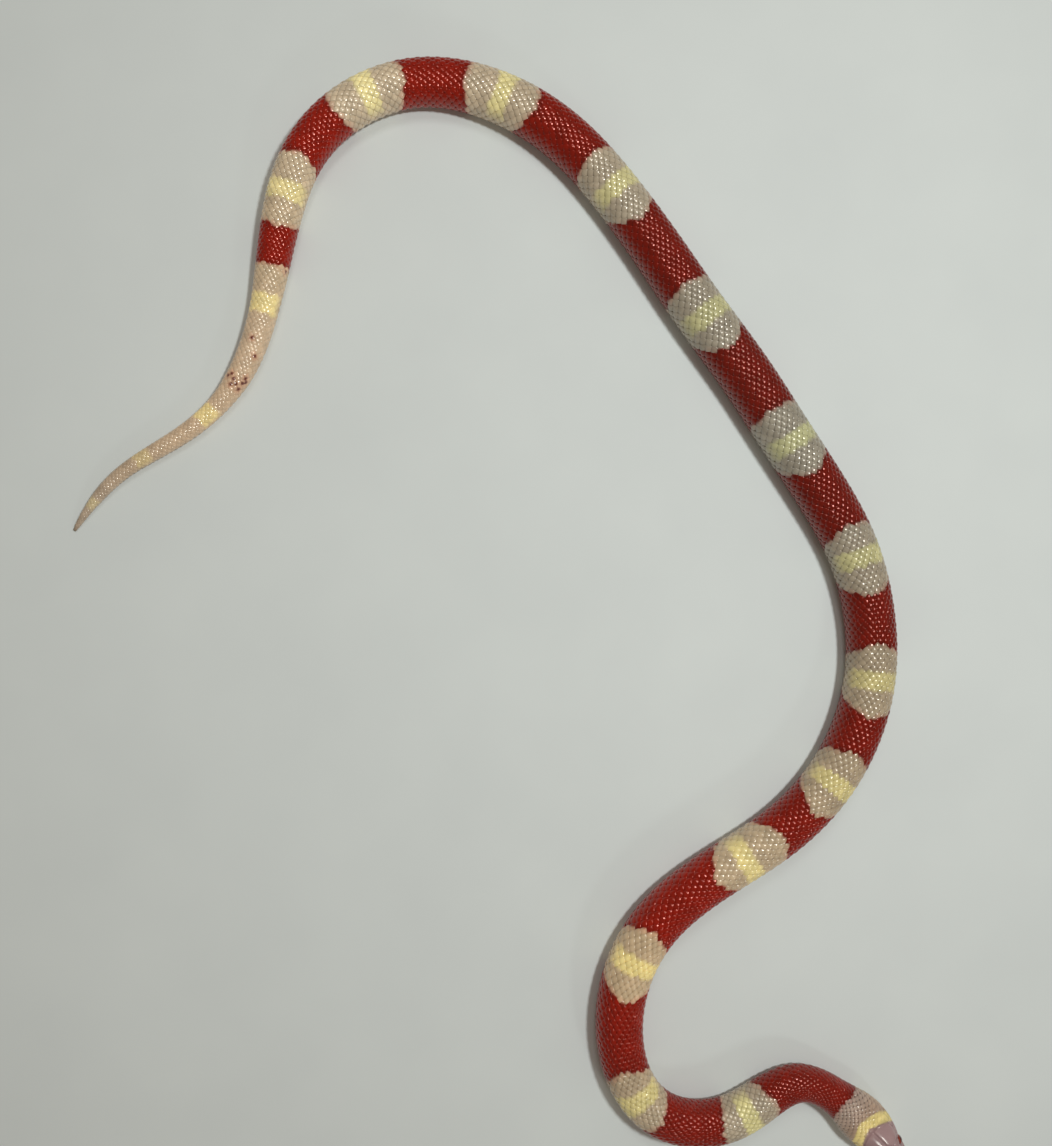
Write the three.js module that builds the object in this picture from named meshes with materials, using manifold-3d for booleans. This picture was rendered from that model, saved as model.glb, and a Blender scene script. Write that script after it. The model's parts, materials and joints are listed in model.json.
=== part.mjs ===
// A young albino milk snake lying at rest, life size, in millimetres, +Z up.
// The floor is z = 0 and the origin is the middle of the coiled outline's box.
// Every place on the animal is named by its distance behind the snout, measured
// along the back, and by an angle round the body: 0 on the back, pi on the belly.
import * as THREE from "three";
import { mergeVertices } from "three/addons/utils/BufferGeometryUtils.js";
import Module from "manifold-3d";

const wasm = await Module();
wasm.setup();

// Route of the body on the floor, snout first, one point about every ROUTE_STEP
const ROUTE_STEP = 15;
const ROUTE = [
  [83.4, -111.4], [73, -100.6], [60.6, -94.2], [47.2, -100.4], [32.4, -99], [24.8, -87],
  [25.4, -72.2], [32.6, -59.6], [44.6, -50.4], [57.2, -42.4], [67.8, -31.6], [74.4, -17.8],
  [76, -3], [73, 12.2], [66.4, 25.2], [57.8, 38.2], [49.8, 50.2], [40.6, 62.6], [32.2, 74.6],
  [23.2, 86.6], [12.8, 97.4], [-0.4, 105], [-15.6, 107.4], [-29.6, 102.2], [-39.2, 91.4],
  [-43.6, 77], [-46.4, 62.4], [-51.6, 48.6], [-61.8, 37.8], [-74.8, 29.2], [-84.2, 17.6],
];

// Girth: distance behind the snout, width, height of the back, height of the chin or belly
const GIRTH = [
  [0, 0.8, 2.95, 2.35], [0.3, 2.6, 3.5, 1.55], [1, 4, 4.1, 0.8], [2.7, 5.3, 4.8, 0.3],
  [5, 6.3, 5.4, 0], [7.6, 8.1, 5.9, 0], [10, 9.3, 6.2, 0], [12.5, 9.8, 6.3, 0],
  [15, 9.4, 6.3, 0], [18, 8.1, 6.2, 0], [21, 7.2, 6.1, 0], [25, 7, 6.1, 0], [31, 7.4, 6.5, 0],
  [40, 8.2, 7.2, 0], [65, 8.9, 7.8, 0], [90, 9.6, 8.4, 0], [115, 9.8, 8.6, 0],
  [180, 9.8, 8.6, 0], [215, 10.5, 9.2, 0], [240, 10.5, 9.2, 0], [285, 9.8, 8.6, 0],
  [310, 9.5, 8.4, 0], [330, 8.9, 7.9, 0], [350, 8.6, 7.6, 0], [366, 8, 7, 0],
  [381, 6.7, 5.9, 0], [390, 5.7, 5, 0], [403, 5, 4.4, 0], [412, 4, 3.5, 0], [421, 3.6, 3.1, 0],
  [432, 3.1, 2.7, 0], [440, 2.6, 2.2, 0], [446, 1.6, 1.4, 0], [449.5, 0.7, 0.6, 0],
];
const WIDEST_AT = 0.46; // share of the height at which the body is widest
const BACK_SQUARENESS = 2.15; // 2 is a true ellipse, more is squarer
const BELLY_SQUARENESS = 2.5;
const BELLY_FLAT = 0.04; // share of the height that the flat of the belly takes off

// Lengths that the animal is divided in
const HEAD_END = 15;
const NECK_END = 38;
const VENT = 386;
const TAIL_MIDDLE = 418;
const TAIL_TIP = 449.5;
const TORSO_LENGTHS = 10;
const NODE_GAP = 0.3;

// Broad scutes across the belly, wider apart than the real ones
const SCUTE_PITCH = 5;
const SCUTE_STEP = 0.28;
const TAIL_SCUTE_STEP = 0.16;
const AROUND = 16;

// Head
const MOUTH_CORNER = 11.7;
const MOUTH_LINE = [[0, 2.15], [2.75, 2.1], [5.5, 2.25], [8.8, 2.1], [MOUTH_CORNER, 2.5]];
const LOWER_JAW_SETBACK = 0.45;
const HEAD_AROUND = 28;
const HEAD_RINGS = [0, 0.1, 0.3, 0.65, 1.15, 1.9, 2.9, 4, 5.2, 6.6, 8.2, 9.8, 11.4, 13.1];
const SHIELD_RISE = 0.14;
const SHIELD_ROOT = 0.45;
const SHIELD_BEVEL = 0.08;
const SEAM = 0.07; // half the width of the groove between two shields
// Shields, by their corners: [distance, way out from the middle line], left half of a pair
const CROWN_PAIRS = {
  internasal: [[0.75, 0], [0.8, 1.1], [1.2, 1.65], [2.15, 1.8], [2.15, 0]],
  prefrontal: [[2.15, 0], [2.15, 1.8], [2.75, 2.3], [3.8, 2.4], [3.95, 1.1], [3.85, 0]],
  supraocular: [[3.95, 1.1], [3.85, 2.35], [5, 2.55], [6.2, 2.55], [6.15, 0.9]],
  parietal: [[7.25, 0], [6.15, 0.9], [6.25, 2.55], [7.3, 3.1], [9.2, 3.15], [10.9, 2], [11.6, 0.7], [11.4, 0]],
};
const FRONTAL = [[3.85, 0], [3.95, 1.1], [6.15, 0.9], [7.25, 0], [6.15, -0.9], [3.95, -1.1]];
// Shields of the left cheek: [distance, height]
const CHEEK = {
  nasal: [[1.05, 2.95], [2.2, 2.95], [2.2, 3.9], [1.2, 3.7]],
  loreal: [[2.2, 2.95], [3.3, 3], [3.3, 4], [2.2, 3.9]],
  lowerPostocular: [[6.25, 3.1], [7.1, 3.1], [7, 3.9], [6.35, 3.9]],
  upperPostocular: [[6.35, 3.9], [7, 3.9], [6.9, 4.6], [6.2, 4.5]],
  temporal: [[7.1, 3.1], [9.4, 3.2], [9.3, 4.5], [7, 4.4]],
};
const LIP_SEAMS = [0.9, 2.1, 3.3, 4.6, 6, 7.8, 9.7, 11.5];
const UPPER_LIP = 0.85; // height of the scales above the mouth
const LOWER_LIP = 0.8;
const EYE_AT = 4.95;
const EYE_HEIGHT = 3.75;
const EYE_RADIUS = 1.05;
const EYE_PROUD = 0.28; // how far the spectacle stands out of the cheek
const EYE_SOCKET_GAP = 0.15;
const ORBIT_RIM = 0.14; // thickness of the ring of small scales round the eye
const NOSTRIL_AT = 1.25;
const NOSTRIL_HEIGHT = 3.25;
const NOSTRIL_RADIUS = 0.3;

const CORAL_RED = 0x83261a;
const PALE_BAND = 0xafa180;
const PALE_TAIL = 0xb59973;
const MAUVE_CAP = 0x8b716f;
const CREAM_JAW = 0xc9b3a6;
const EYE_RED = 0x8c1f1c;

// Smooth curve through the route's points: the control points are moved, sweep by sweep,
// until the cubic B-spline passes through every point of the route
function routeControls() {
  const controls = ROUTE.map((point) => [...point]);
  const last = ROUTE.length - 1;
  for (let sweep = 0; sweep < 40; sweep += 1) {
    for (let i = 1; i < last; i += 1) {
      for (let axis = 0; axis < 2; axis += 1) {
        controls[i][axis] = (6 * ROUTE[i][axis] - controls[i - 1][axis] - controls[i + 1][axis]) / 4;
      }
    }
  }
  const before = [0, 1].map((axis) => 2 * controls[0][axis] - controls[1][axis]);
  const after = [0, 1].map((axis) => 2 * controls[last][axis] - controls[last - 1][axis]);
  return [before, ...controls, after];
}

const CONTROLS = routeControls();

function splinePoint(place) {
  const start = Math.min(Math.floor(place), ROUTE.length - 2);
  const t = place - start;
  const weights = [
    (1 - t) ** 3 / 6,
    (3 * t ** 3 - 6 * t ** 2 + 4) / 6,
    (-3 * t ** 3 + 3 * t ** 2 + 3 * t + 1) / 6,
    t ** 3 / 6,
  ];
  return [0, 1].map((axis) =>
    weights.reduce((sum, weight, i) => sum + weight * CONTROLS[start + i][axis], 0));
}

// The same curve measured off in equal distances
function measuredRoute() {
  const perSpan = 40;
  const samples = [{ distance: 0, point: splinePoint(0) }];
  for (let i = 1; i <= perSpan * (ROUTE.length - 1); i += 1) {
    const point = splinePoint(i / perSpan);
    const previous = samples[i - 1];
    const step = Math.hypot(point[0] - previous.point[0], point[1] - previous.point[1]);
    samples.push({ distance: previous.distance + step, point });
  }
  return samples;
}

const SAMPLES = measuredRoute();

function routePoint(distance) {
  const guess = Math.round((distance / ROUTE_STEP) * 40);
  let i = Math.max(0, Math.min(guess, SAMPLES.length - 2));
  while (i > 0 && SAMPLES[i].distance > distance) {
    i -= 1;
  }
  while (i < SAMPLES.length - 2 && SAMPLES[i + 1].distance < distance) {
    i += 1;
  }
  const from = SAMPLES[i];
  const to = SAMPLES[i + 1];
  const share = (distance - from.distance) / (to.distance - from.distance);
  return [0, 1].map((axis) => from.point[axis] + share * (to.point[axis] - from.point[axis]));
}

// Place on the route, with the direction towards the tail and the one to the animal's left
function routeFrame(distance) {
  const reach = 0.3;
  const ahead = routePoint(distance - reach);
  const behind = routePoint(distance + reach);
  const along = new THREE.Vector2(behind[0] - ahead[0], behind[1] - ahead[1]).normalize();
  const [x, y] = routePoint(distance);
  return { x, y, left: new THREE.Vector2(along.y, -along.x) };
}

// Smooth value of one column of a table of stations, with no overshoot between them
function stationValue(table, column, distance) {
  const last = table.length - 1;
  if (distance <= table[0][0]) {
    return table[0][column];
  }
  if (distance >= table[last][0]) {
    return table[last][column];
  }
  const i = table.findIndex((row) => row[0] > distance) - 1;
  const slope = (a) => (table[a + 1][column] - table[a][column]) / (table[a + 1][0] - table[a][0]);
  const blended = (a) => {
    if (a === 0 || a === last) {
      return slope(Math.min(a, last - 1));
    }
    const before = slope(a - 1);
    const after = slope(a);
    return before * after <= 0 ? 0 : (2 * before * after) / (before + after);
  };
  const span = table[i + 1][0] - table[i][0];
  const t = (distance - table[i][0]) / span;
  const start = table[i][column];
  const end = table[i + 1][column];
  return (
    (2 * t ** 3 - 3 * t ** 2 + 1) * start +
    (t ** 3 - 2 * t ** 2 + t) * span * blended(i) +
    (3 * t ** 2 - 2 * t ** 3) * end +
    (t ** 3 - t ** 2) * span * blended(i + 1)
  );
}

// Half-width, height of the widest place, and reach above and below it
function sectionAt(distance) {
  const top = stationValue(GIRTH, 2, distance);
  const chin = stationValue(GIRTH, 3, distance);
  const bottom = chin - BELLY_FLAT * (top - chin);
  const middle = bottom + WIDEST_AT * (top - bottom);
  return { half: stationValue(GIRTH, 1, distance) / 2, middle, up: top - middle, down: middle - bottom };
}

// A point of the skin. angle runs from 0 on the back to pi on the belly, and is negative
// on the animal's right. belly is the lowest height that the point may take.
function skinPoint(distance, angle, belly = 0) {
  const section = sectionAt(distance);
  const side = Math.sign(angle);
  const sine = Math.max(0, Math.sin(Math.abs(angle)));
  const cosine = Math.cos(angle);
  const squareness = cosine >= 0 ? BACK_SQUARENESS : BELLY_SQUARENESS;
  const across = side * section.half * sine ** (2 / squareness);
  const reach = Math.abs(cosine) ** (2 / squareness);
  const height = section.middle + (cosine >= 0 ? section.up : -section.down) * reach;
  const frame = routeFrame(distance);
  return new THREE.Vector3(
    frame.x + across * frame.left.x,
    frame.y + across * frame.left.y,
    Math.max(height, belly),
  );
}

// The skin's outward direction, from its slopes along and round the body
function skinNormal(distance, angle) {
  const reach = 0.05;
  const along = skinPoint(distance + reach, angle, -1).sub(skinPoint(distance - reach, angle, -1));
  const round = skinPoint(distance, angle + reach, -1).sub(skinPoint(distance, angle - reach, -1));
  return along.cross(round).normalize().negate();
}

function raisedPoint(distance, angle, rise) {
  return skinPoint(distance, angle, -1).addScaledVector(skinNormal(distance, angle), rise);
}

// Angle at which the skin is a given way out from the middle line, on the back
function angleOut(distance, out) {
  const share = Math.min(Math.abs(out) / sectionAt(distance).half, 0.98);
  return Math.sign(out) * Math.asin(share ** (BACK_SQUARENESS / 2));
}

// Angle at which the skin's side has a given height, for the left flank
function angleAtHeight(distance, height) {
  const { middle, up, down } = sectionAt(distance);
  if (height >= middle) {
    return Math.acos(Math.min(1, (height - middle) / up) ** (BACK_SQUARENESS / 2));
  }
  return Math.PI - Math.acos(Math.min(1, (middle - height) / down) ** (BELLY_SQUARENESS / 2));
}

// Closed geometry from loops of points, one loop after the other, with each end closed
// from a middle point
function loft(loops, frontMiddle, backMiddle) {
  const count = loops[0].length;
  const positions = loops.flat();
  const triangles = [];
  for (let row = 0; row < loops.length - 1; row += 1) {
    for (let i = 0; i < count; i += 1) {
      const a = row * count + i;
      const b = row * count + ((i + 1) % count);
      triangles.push(a, b, b + count, a, b + count, a + count);
    }
  }
  const middleOf = (loop) =>
    loop.reduce((sum, point) => sum.add(point), new THREE.Vector3()).divideScalar(count);
  const lastRow = (loops.length - 1) * count;
  const front = positions.push(frontMiddle ?? middleOf(loops[0])) - 1;
  const back = positions.push(backMiddle ?? middleOf(loops[loops.length - 1])) - 1;
  for (let i = 0; i < count; i += 1) {
    const next = (i + 1) % count;
    triangles.push(front, next, i);
    triangles.push(back, lastRow + i, lastRow + next);
  }
  const geometry = new THREE.BufferGeometry();
  const numbers = positions.flatMap((point) => [point.x, point.y, point.z]);
  geometry.setAttribute("position", new THREE.Float32BufferAttribute(numbers, 3));
  geometry.setIndex(triangles);
  return geometry;
}

// Cuts and joins
function toSolid(geometry) {
  const bare = geometry.clone();
  bare.deleteAttribute("normal");
  bare.deleteAttribute("uv");
  const merged = mergeVertices(bare, 1e-4);
  const mesh = new wasm.Mesh({
    numProp: 3,
    vertProperties: new Float32Array(merged.attributes.position.array),
    triVerts: new Uint32Array(merged.index.array),
  });
  return new wasm.Manifold(mesh);
}

function toGeometry(solid) {
  const mesh = solid.getMesh();
  const geometry = new THREE.BufferGeometry();
  geometry.setAttribute("position", new THREE.Float32BufferAttribute([...mesh.vertProperties], 3));
  geometry.setIndex([...mesh.triVerts]);
  return geometry;
}

function largestBody(solid) {
  const bodies = solid.decompose();
  return bodies.reduce((best, body) => (body.volume() > best.volume() ? body : best));
}

function namedMesh(name, geometry, color, roughness) {
  geometry.deleteAttribute("normal");
  geometry.computeVertexNormals();
  const material = new THREE.MeshStandardMaterial({ color, roughness, metalness: 0 });
  const mesh = new THREE.Mesh(geometry, material);
  mesh.name = name;
  return mesh;
}

// One loop of the skin round the body, its belly lifted to a given height
function skinLoop(distance, count, belly) {
  return Array.from({ length: count }, (_, i) => {
    const angle = -Math.PI + (2 * Math.PI * i) / count;
    return skinPoint(distance, angle, belly);
  });
}

// A length of the body. Each scute slopes down to its flat rear half, which rests on
// the floor, and ends in a step up to the front of the next one.
function bodyLength(start, end, step) {
  const first = start + NODE_GAP / 2;
  const last = end - NODE_GAP / 2;
  const scutes = Math.round((last - first) / SCUTE_PITCH);
  const pitch = (last - first) / scutes;
  const loops = [];
  for (let i = 0; i < scutes; i += 1) {
    const front = first + i * pitch;
    loops.push(skinLoop(front, AROUND, step));
    loops.push(skinLoop(front + 0.45 * pitch, AROUND, 0));
    loops.push(skinLoop(front + 0.96 * pitch, AROUND, 0));
  }
  loops.push(skinLoop(last, AROUND, step));
  return loft(loops);
}

// A shield: a plate that stands on the skin inside an outline of [distance, angle],
// clear of its neighbours by the seam, with its root sunk into the head
function shield(outline) {
  const middle = [0, 1].map((axis) => outline.reduce((sum, point) => sum + point[axis], 0) / outline.length);
  const centre = raisedPoint(middle[0], middle[1], 0);
  const loop = (margin, rise) => outline.map(([distance, angle]) => {
    const share = 1 - margin / raisedPoint(distance, angle, 0).distanceTo(centre);
    return raisedPoint(
      middle[0] + share * (distance - middle[0]),
      middle[1] + share * (angle - middle[1]),
      rise,
    );
  });
  const loops = [
    loop(SEAM, -SHIELD_ROOT),
    loop(SEAM, 0.02),
    loop(SEAM + SHIELD_BEVEL, SHIELD_RISE),
  ];
  const root = raisedPoint(middle[0], middle[1], -SHIELD_ROOT);
  const crown = raisedPoint(middle[0], middle[1], SHIELD_RISE + 0.03);
  return outwards(loft(loops, root, crown));
}

// The same geometry with its faces pointing out
function outwards(geometry) {
  const { array } = geometry.attributes.position;
  const corner = (i) => new THREE.Vector3().fromArray(array, 3 * geometry.index.array[i]);
  let volume = 0;
  for (let i = 0; i < geometry.index.count; i += 3) {
    volume += corner(i).dot(corner(i + 1).cross(corner(i + 2)));
  }
  if (volume < 0) {
    geometry.setIndex([...geometry.index.array].reverse());
  }
  return geometry;
}

// An outline with points between its corners, so that its edges follow the round of the head
function followed(outline) {
  const spacing = 1.1;
  return outline.flatMap((from, i) => {
    const to = outline[(i + 1) % outline.length];
    const parts = Math.max(1, Math.ceil(Math.hypot(to[0] - from[0], to[1] - from[1]) / spacing));
    return Array.from({ length: parts }, (_, k) =>
      from.map((value, axis) => value + (k / parts) * (to[axis] - value)));
  });
}

// Shields of the crown, from outlines of [distance, way out from the middle line]
function crownShields() {
  const onSkin = (outline) =>
    followed(outline).map(([distance, out]) => [distance, angleOut(distance, out)]);
  const mirrored = (outline) => outline.map(([distance, out]) => [distance, -out]);
  const paired = Object.values(CROWN_PAIRS).flatMap((outline) => [outline, mirrored(outline)]);
  return [FRONTAL, ...paired].map((outline) => shield(onSkin(outline)));
}

// Shields of both cheeks and lips, from outlines of [distance, height]
function cheekShields() {
  const upperLip = LIP_SEAMS.slice(0, -1).map((start, i) => {
    const end = LIP_SEAMS[i + 1];
    const top = (distance) => mouthHeight(distance) + UPPER_LIP;
    const low = (distance) => mouthHeight(distance) + NODE_GAP / 2;
    return [[start, low(start)], [end, low(end)], [end, top(end)], [start, top(start)]];
  });
  const lowerLip = LIP_SEAMS.slice(0, -1).map((start, i) => {
    const end = LIP_SEAMS[i + 1];
    const top = (distance) => mouthHeight(distance) - NODE_GAP / 2;
    const low = (distance) => mouthHeight(distance) - LOWER_LIP;
    return [[start, low(start)], [end, low(end)], [end, top(end)], [start, top(start)]];
  });
  const outlines = [...upperLip, ...lowerLip, ...Object.values(CHEEK)];
  return outlines.flatMap((outline) => {
    const onSkin = followed(outline).map(([distance, height]) =>
      [distance, angleAtHeight(distance, height)]);
    const opposite = onSkin.map(([distance, angle]) => [distance, -angle]);
    return [shield(onSkin), shield(opposite)];
  });
}

// Place and outward direction of the skin on one flank, side 1 for the left and -1 for the right
function flank(distance, height, side) {
  const angle = side * angleAtHeight(distance, height);
  return { point: skinPoint(distance, angle, -1), out: skinNormal(distance, angle) };
}

function eyeCentre(side) {
  const { point, out } = flank(EYE_AT, EYE_HEIGHT, side);
  return point.addScaledVector(out, EYE_PROUD - EYE_RADIUS);
}

function ball(centre, radius, detail) {
  return new THREE.IcosahedronGeometry(radius, detail).translate(centre.x, centre.y, centre.z);
}

function eyeball() {
  const geometry = new THREE.IcosahedronGeometry(EYE_RADIUS, 3);
  geometry.deleteAttribute("normal");
  geometry.deleteAttribute("uv");
  return mergeVertices(geometry);
}

// Ring of small scales that frames the eye
function orbitRim(side) {
  const { out } = flank(EYE_AT, EYE_HEIGHT, side);
  const depth = Math.sqrt(Math.max(0, EYE_RADIUS ** 2 - (EYE_RADIUS - EYE_PROUD) ** 2));
  const ring = new THREE.TorusGeometry(depth + ORBIT_RIM, ORBIT_RIM, 6, 20);
  const turn = new THREE.Quaternion().setFromUnitVectors(new THREE.Vector3(0, 0, 1), out);
  const place = flank(EYE_AT, EYE_HEIGHT, side).point;
  return ring.applyQuaternion(turn).translate(place.x, place.y, place.z);
}

function mouthHeight(distance) {
  return stationValue(MOUTH_LINE, 1, distance);
}

// A rectangle across the head at one distance, by default wider than the head
function crossLoop(distance, low, high, reach = 8) {
  const frame = routeFrame(distance);
  const corners = [[-reach, low], [reach, low], [reach, high], [-reach, high]];
  return corners.map(([out, height]) =>
    new THREE.Vector3(frame.x + out * frame.left.x, frame.y + out * frame.left.y, height));
}

// The slit of the mouth, a thin slab that follows the line of the lips from the snout to
// the corner of the mouth, and a cut there down through the throat
function mouthCuts() {
  const under = -2;
  const half = NODE_GAP / 2;
  const distances = [-1, 0.5, 1.5, 2.8, 4.4, 6, 7.7, 9.3, 10.6, MOUTH_CORNER + NODE_GAP];
  const lips = distances.map((distance) =>
    crossLoop(distance, mouthHeight(distance) - half, mouthHeight(distance) + half));
  const corner = mouthHeight(MOUTH_CORNER) + half;
  const throat = [MOUTH_CORNER, MOUTH_CORNER + NODE_GAP].map((distance) =>
    crossLoop(distance, under, corner));
  return [outwards(loft(lips)), outwards(loft(throat))];
}

// What the snout overhangs: a block in front of the lower jaw, hollowed out where the
// jaw's round front stays, which is set back from the snout's
function overhang() {
  const low = -2;
  const high = 3;
  const end = 3.2;
  const block = outwards(loft([crossLoop(-1, low, high), crossLoop(end, low, high)]));
  const distances = [LOWER_JAW_SETBACK, 0.55, 0.75, 1.1, 1.6, 2.3, end + 0.1];
  const front = distances.map((distance) => {
    const fading = LOWER_JAW_SETBACK * Math.max(0, (end - distance) / (end - LOWER_JAW_SETBACK));
    return crossLoop(distance, low - 1, high + 1, sectionAt(distance - fading).half + SHIELD_RISE);
  });
  return toSolid(block).subtract(toSolid(outwards(loft(front))));
}

// Upper head and lower jaw, cut apart along the mouth from one closed head
function headPieces() {
  const rings = [...HEAD_RINGS, HEAD_END - NODE_GAP / 2];
  const skin = loft(rings.map((distance) => skinLoop(distance, HEAD_AROUND, 0)));
  const sides = [1, -1];
  const raised = [...crownShields(), ...cheekShields(), ...sides.map(orbitRim)];
  const nostrils = sides.map((side) =>
    ball(flank(NOSTRIL_AT, NOSTRIL_HEIGHT, side).point, NOSTRIL_RADIUS, 1));
  const sockets = sides.map((side) => ball(eyeCentre(side), EYE_RADIUS + EYE_SOCKET_GAP, 2));
  let whole = wasm.Manifold.union([skin, ...raised].map(toSolid));
  whole = whole.subtract(wasm.Manifold.union([...nostrils, ...sockets, ...mouthCuts()].map(toSolid)));
  const [upper, lower] = whole.decompose().sort((a, b) => b.volume() - a.volume());
  return { upper, lower: largestBody(lower.subtract(overhang())) };
}

const group = new THREE.Group();
const { upper, lower } = headPieces();
group.add(namedMesh("head", toGeometry(upper), MAUVE_CAP, 0.4));
group.add(namedMesh("lower_jaw", toGeometry(lower), CREAM_JAW, 0.4));
for (const [name, side] of [["eye_left", 1], ["eye_right", -1]]) {
  const eye = namedMesh(name, eyeball(), EYE_RED, 0.1);
  eye.position.copy(eyeCentre(side));
  group.add(eye);
}
group.add(namedMesh("neck", bodyLength(HEAD_END, NECK_END, SCUTE_STEP), CORAL_RED, 0.4));
for (let i = 0; i < TORSO_LENGTHS; i += 1) {
  const length = (VENT - NECK_END) / TORSO_LENGTHS;
  const start = NECK_END + i * length;
  const geometry = bodyLength(start, start + length, SCUTE_STEP);
  group.add(namedMesh(`torso_${i + 1}`, geometry, i % 2 ? PALE_BAND : CORAL_RED, 0.4));
}
group.add(namedMesh("tail_base", bodyLength(VENT, TAIL_MIDDLE, TAIL_SCUTE_STEP), PALE_TAIL, 0.45));
group.add(namedMesh("tail_tip", bodyLength(TAIL_MIDDLE, TAIL_TIP, TAIL_SCUTE_STEP), PALE_TAIL, 0.45));

export default group;
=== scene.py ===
# %% [markdown]
# # A milk snake, dressed cell by cell
#
# The solids of this model are a young albino milk snake, life size, lying on the floor. This lesson
# gives them their looks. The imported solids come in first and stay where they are: they say how big
# the animal is and where it touches the floor. Everything below is made round them, in metres.

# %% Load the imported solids
import json
import math

import bpy
import numpy as np
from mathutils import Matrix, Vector, geometry
from mathutils.bvhtree import BVHTree

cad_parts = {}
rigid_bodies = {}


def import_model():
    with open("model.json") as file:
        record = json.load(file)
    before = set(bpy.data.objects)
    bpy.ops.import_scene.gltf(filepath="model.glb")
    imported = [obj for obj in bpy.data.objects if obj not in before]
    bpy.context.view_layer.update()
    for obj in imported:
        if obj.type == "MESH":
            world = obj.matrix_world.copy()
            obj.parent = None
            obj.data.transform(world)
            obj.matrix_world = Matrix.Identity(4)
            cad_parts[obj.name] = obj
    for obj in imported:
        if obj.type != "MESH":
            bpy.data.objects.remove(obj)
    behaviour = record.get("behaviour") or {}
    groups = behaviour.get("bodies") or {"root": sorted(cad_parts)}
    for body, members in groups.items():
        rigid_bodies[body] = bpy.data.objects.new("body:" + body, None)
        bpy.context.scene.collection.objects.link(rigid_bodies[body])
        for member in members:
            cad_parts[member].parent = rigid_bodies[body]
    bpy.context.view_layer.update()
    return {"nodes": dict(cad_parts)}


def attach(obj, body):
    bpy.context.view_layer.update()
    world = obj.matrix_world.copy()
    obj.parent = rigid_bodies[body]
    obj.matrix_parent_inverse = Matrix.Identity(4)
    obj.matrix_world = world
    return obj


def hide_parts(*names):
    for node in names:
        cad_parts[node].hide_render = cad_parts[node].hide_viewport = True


for spare in list(bpy.data.objects):
    bpy.data.objects.remove(spare)
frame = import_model()
MM = 0.001


# %% [markdown]
# ## One helper for nodes, one for colours
#
# Materials and Geometry Nodes are both trees of nodes. One small function that adds a node, sets it
# and links it is enough for all of them. Colours are written as the hex values that a painter would
# pick on screen, and one function turns them into the linear light that the renderer works in.

# %% Node and colour helpers
def add_node(tree, kind, inputs=None, **settings):
    """Adds one node. inputs gives a socket, by name or number, its value or the output that feeds it."""
    made = tree.nodes.new(kind)
    for name, value in settings.items():
        setattr(made, name, value)
    for socket, value in (inputs or {}).items():
        if isinstance(value, bpy.types.NodeSocket):
            tree.links.new(value, made.inputs[socket])
        else:
            made.inputs[socket].default_value = value
    return made


def linear(hex_colour):
    """The linear colour of a hex value such as 'b59973', by the formula of the sRGB standard."""
    parts = [int(hex_colour[i : i + 2], 16) / 255 for i in (0, 2, 4)]
    return (*[c / 12.92 if c <= 0.04045 else ((c + 0.055) / 1.055) ** 2.4 for c in parts], 1.0)


def smooth_step(low, high, value):
    """0 below low, 1 above high, and a soft rise between them."""
    share = np.clip((value - low) / (high - low), 0, 1)
    return share * share * (3 - 2 * share)


print("deep red in linear light:", [round(c, 3) for c in linear("7a1004")])

# %% [markdown]
# ## The camera
#
# The photograph looks almost straight down from about two hand widths above the animal. A camera so
# close sees the near parts larger, so its height matters more than its lens. The lens then follows
# from the focal length in pixels and the height of the picture, because Blender's sensor width
# belongs to the longer side of the picture.

# %% Camera at the photograph's viewing angle
CAMERA_PLACE = (-8 * MM, 10 * MM, 205 * MM)
CAMERA_LEAN = math.radians(3.8)
FOCAL_LENGTH_PIXELS = 1010
PICTURE_HEIGHT_PIXELS = 1146
SENSOR_MM = 36
NEAREST_SEEN = 5 * MM

camera_data = bpy.data.cameras.new("camera")
camera_data.sensor_width = SENSOR_MM
camera_data.lens = FOCAL_LENGTH_PIXELS / PICTURE_HEIGHT_PIXELS * SENSOR_MM
camera_data.clip_start = NEAREST_SEEN
camera = bpy.data.objects.new("camera", camera_data)
camera.location = CAMERA_PLACE
camera.rotation_euler = (0, -CAMERA_LEAN, 0)
bpy.context.scene.collection.objects.link(camera)
bpy.context.scene.camera = camera
print("lens in mm:", round(camera_data.lens, 2))

# %% [markdown]
# ## Floor and light
#
# Polished scales are small domes, and each one shows the lamp as one bright dot. A small lamp gives
# sharp dots and a large one gives a milky veil, so the key light is a small panel high up on the
# right. A weaker panel at the far end catches the last bend and the tail, and a faint one lower
# down in front puts a shine on the crown of the head. The room's light is soft and warm, and opens
# the shadows. The floor is a plain pale board.

# %% Floor of painted board
FLOOR_SIDE = 1600 * MM
BOARD_CLOUD_SIZE = 27 * MM
BOARD_TONES = ("dadddc", "e4e7e5")
BOARD_ROUGHNESS = 0.85


def mesh_object(name, points, faces, material, smooth=True):
    """A mesh object at the origin, with its place in its points, in metres."""
    mesh = bpy.data.meshes.new(name)
    mesh.from_pydata([tuple(p) for p in points], [], [tuple(f) for f in faces])
    mesh.materials.append(material)
    mesh.polygons.foreach_set("use_smooth", np.full(len(mesh.polygons), smooth))
    made = bpy.data.objects.new(name, mesh)
    bpy.context.scene.collection.objects.link(made)
    return made


def new_material(name):
    """An empty material with its output node and a Principled shader, and its tree."""
    material = bpy.data.materials.new(name)
    material.use_nodes = True
    tree = material.node_tree
    tree.nodes.clear()
    shader = add_node(tree, "ShaderNodeBsdfPrincipled")
    add_node(tree, "ShaderNodeOutputMaterial", {"Surface": shader.outputs["BSDF"]})
    return material, tree, shader


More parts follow.
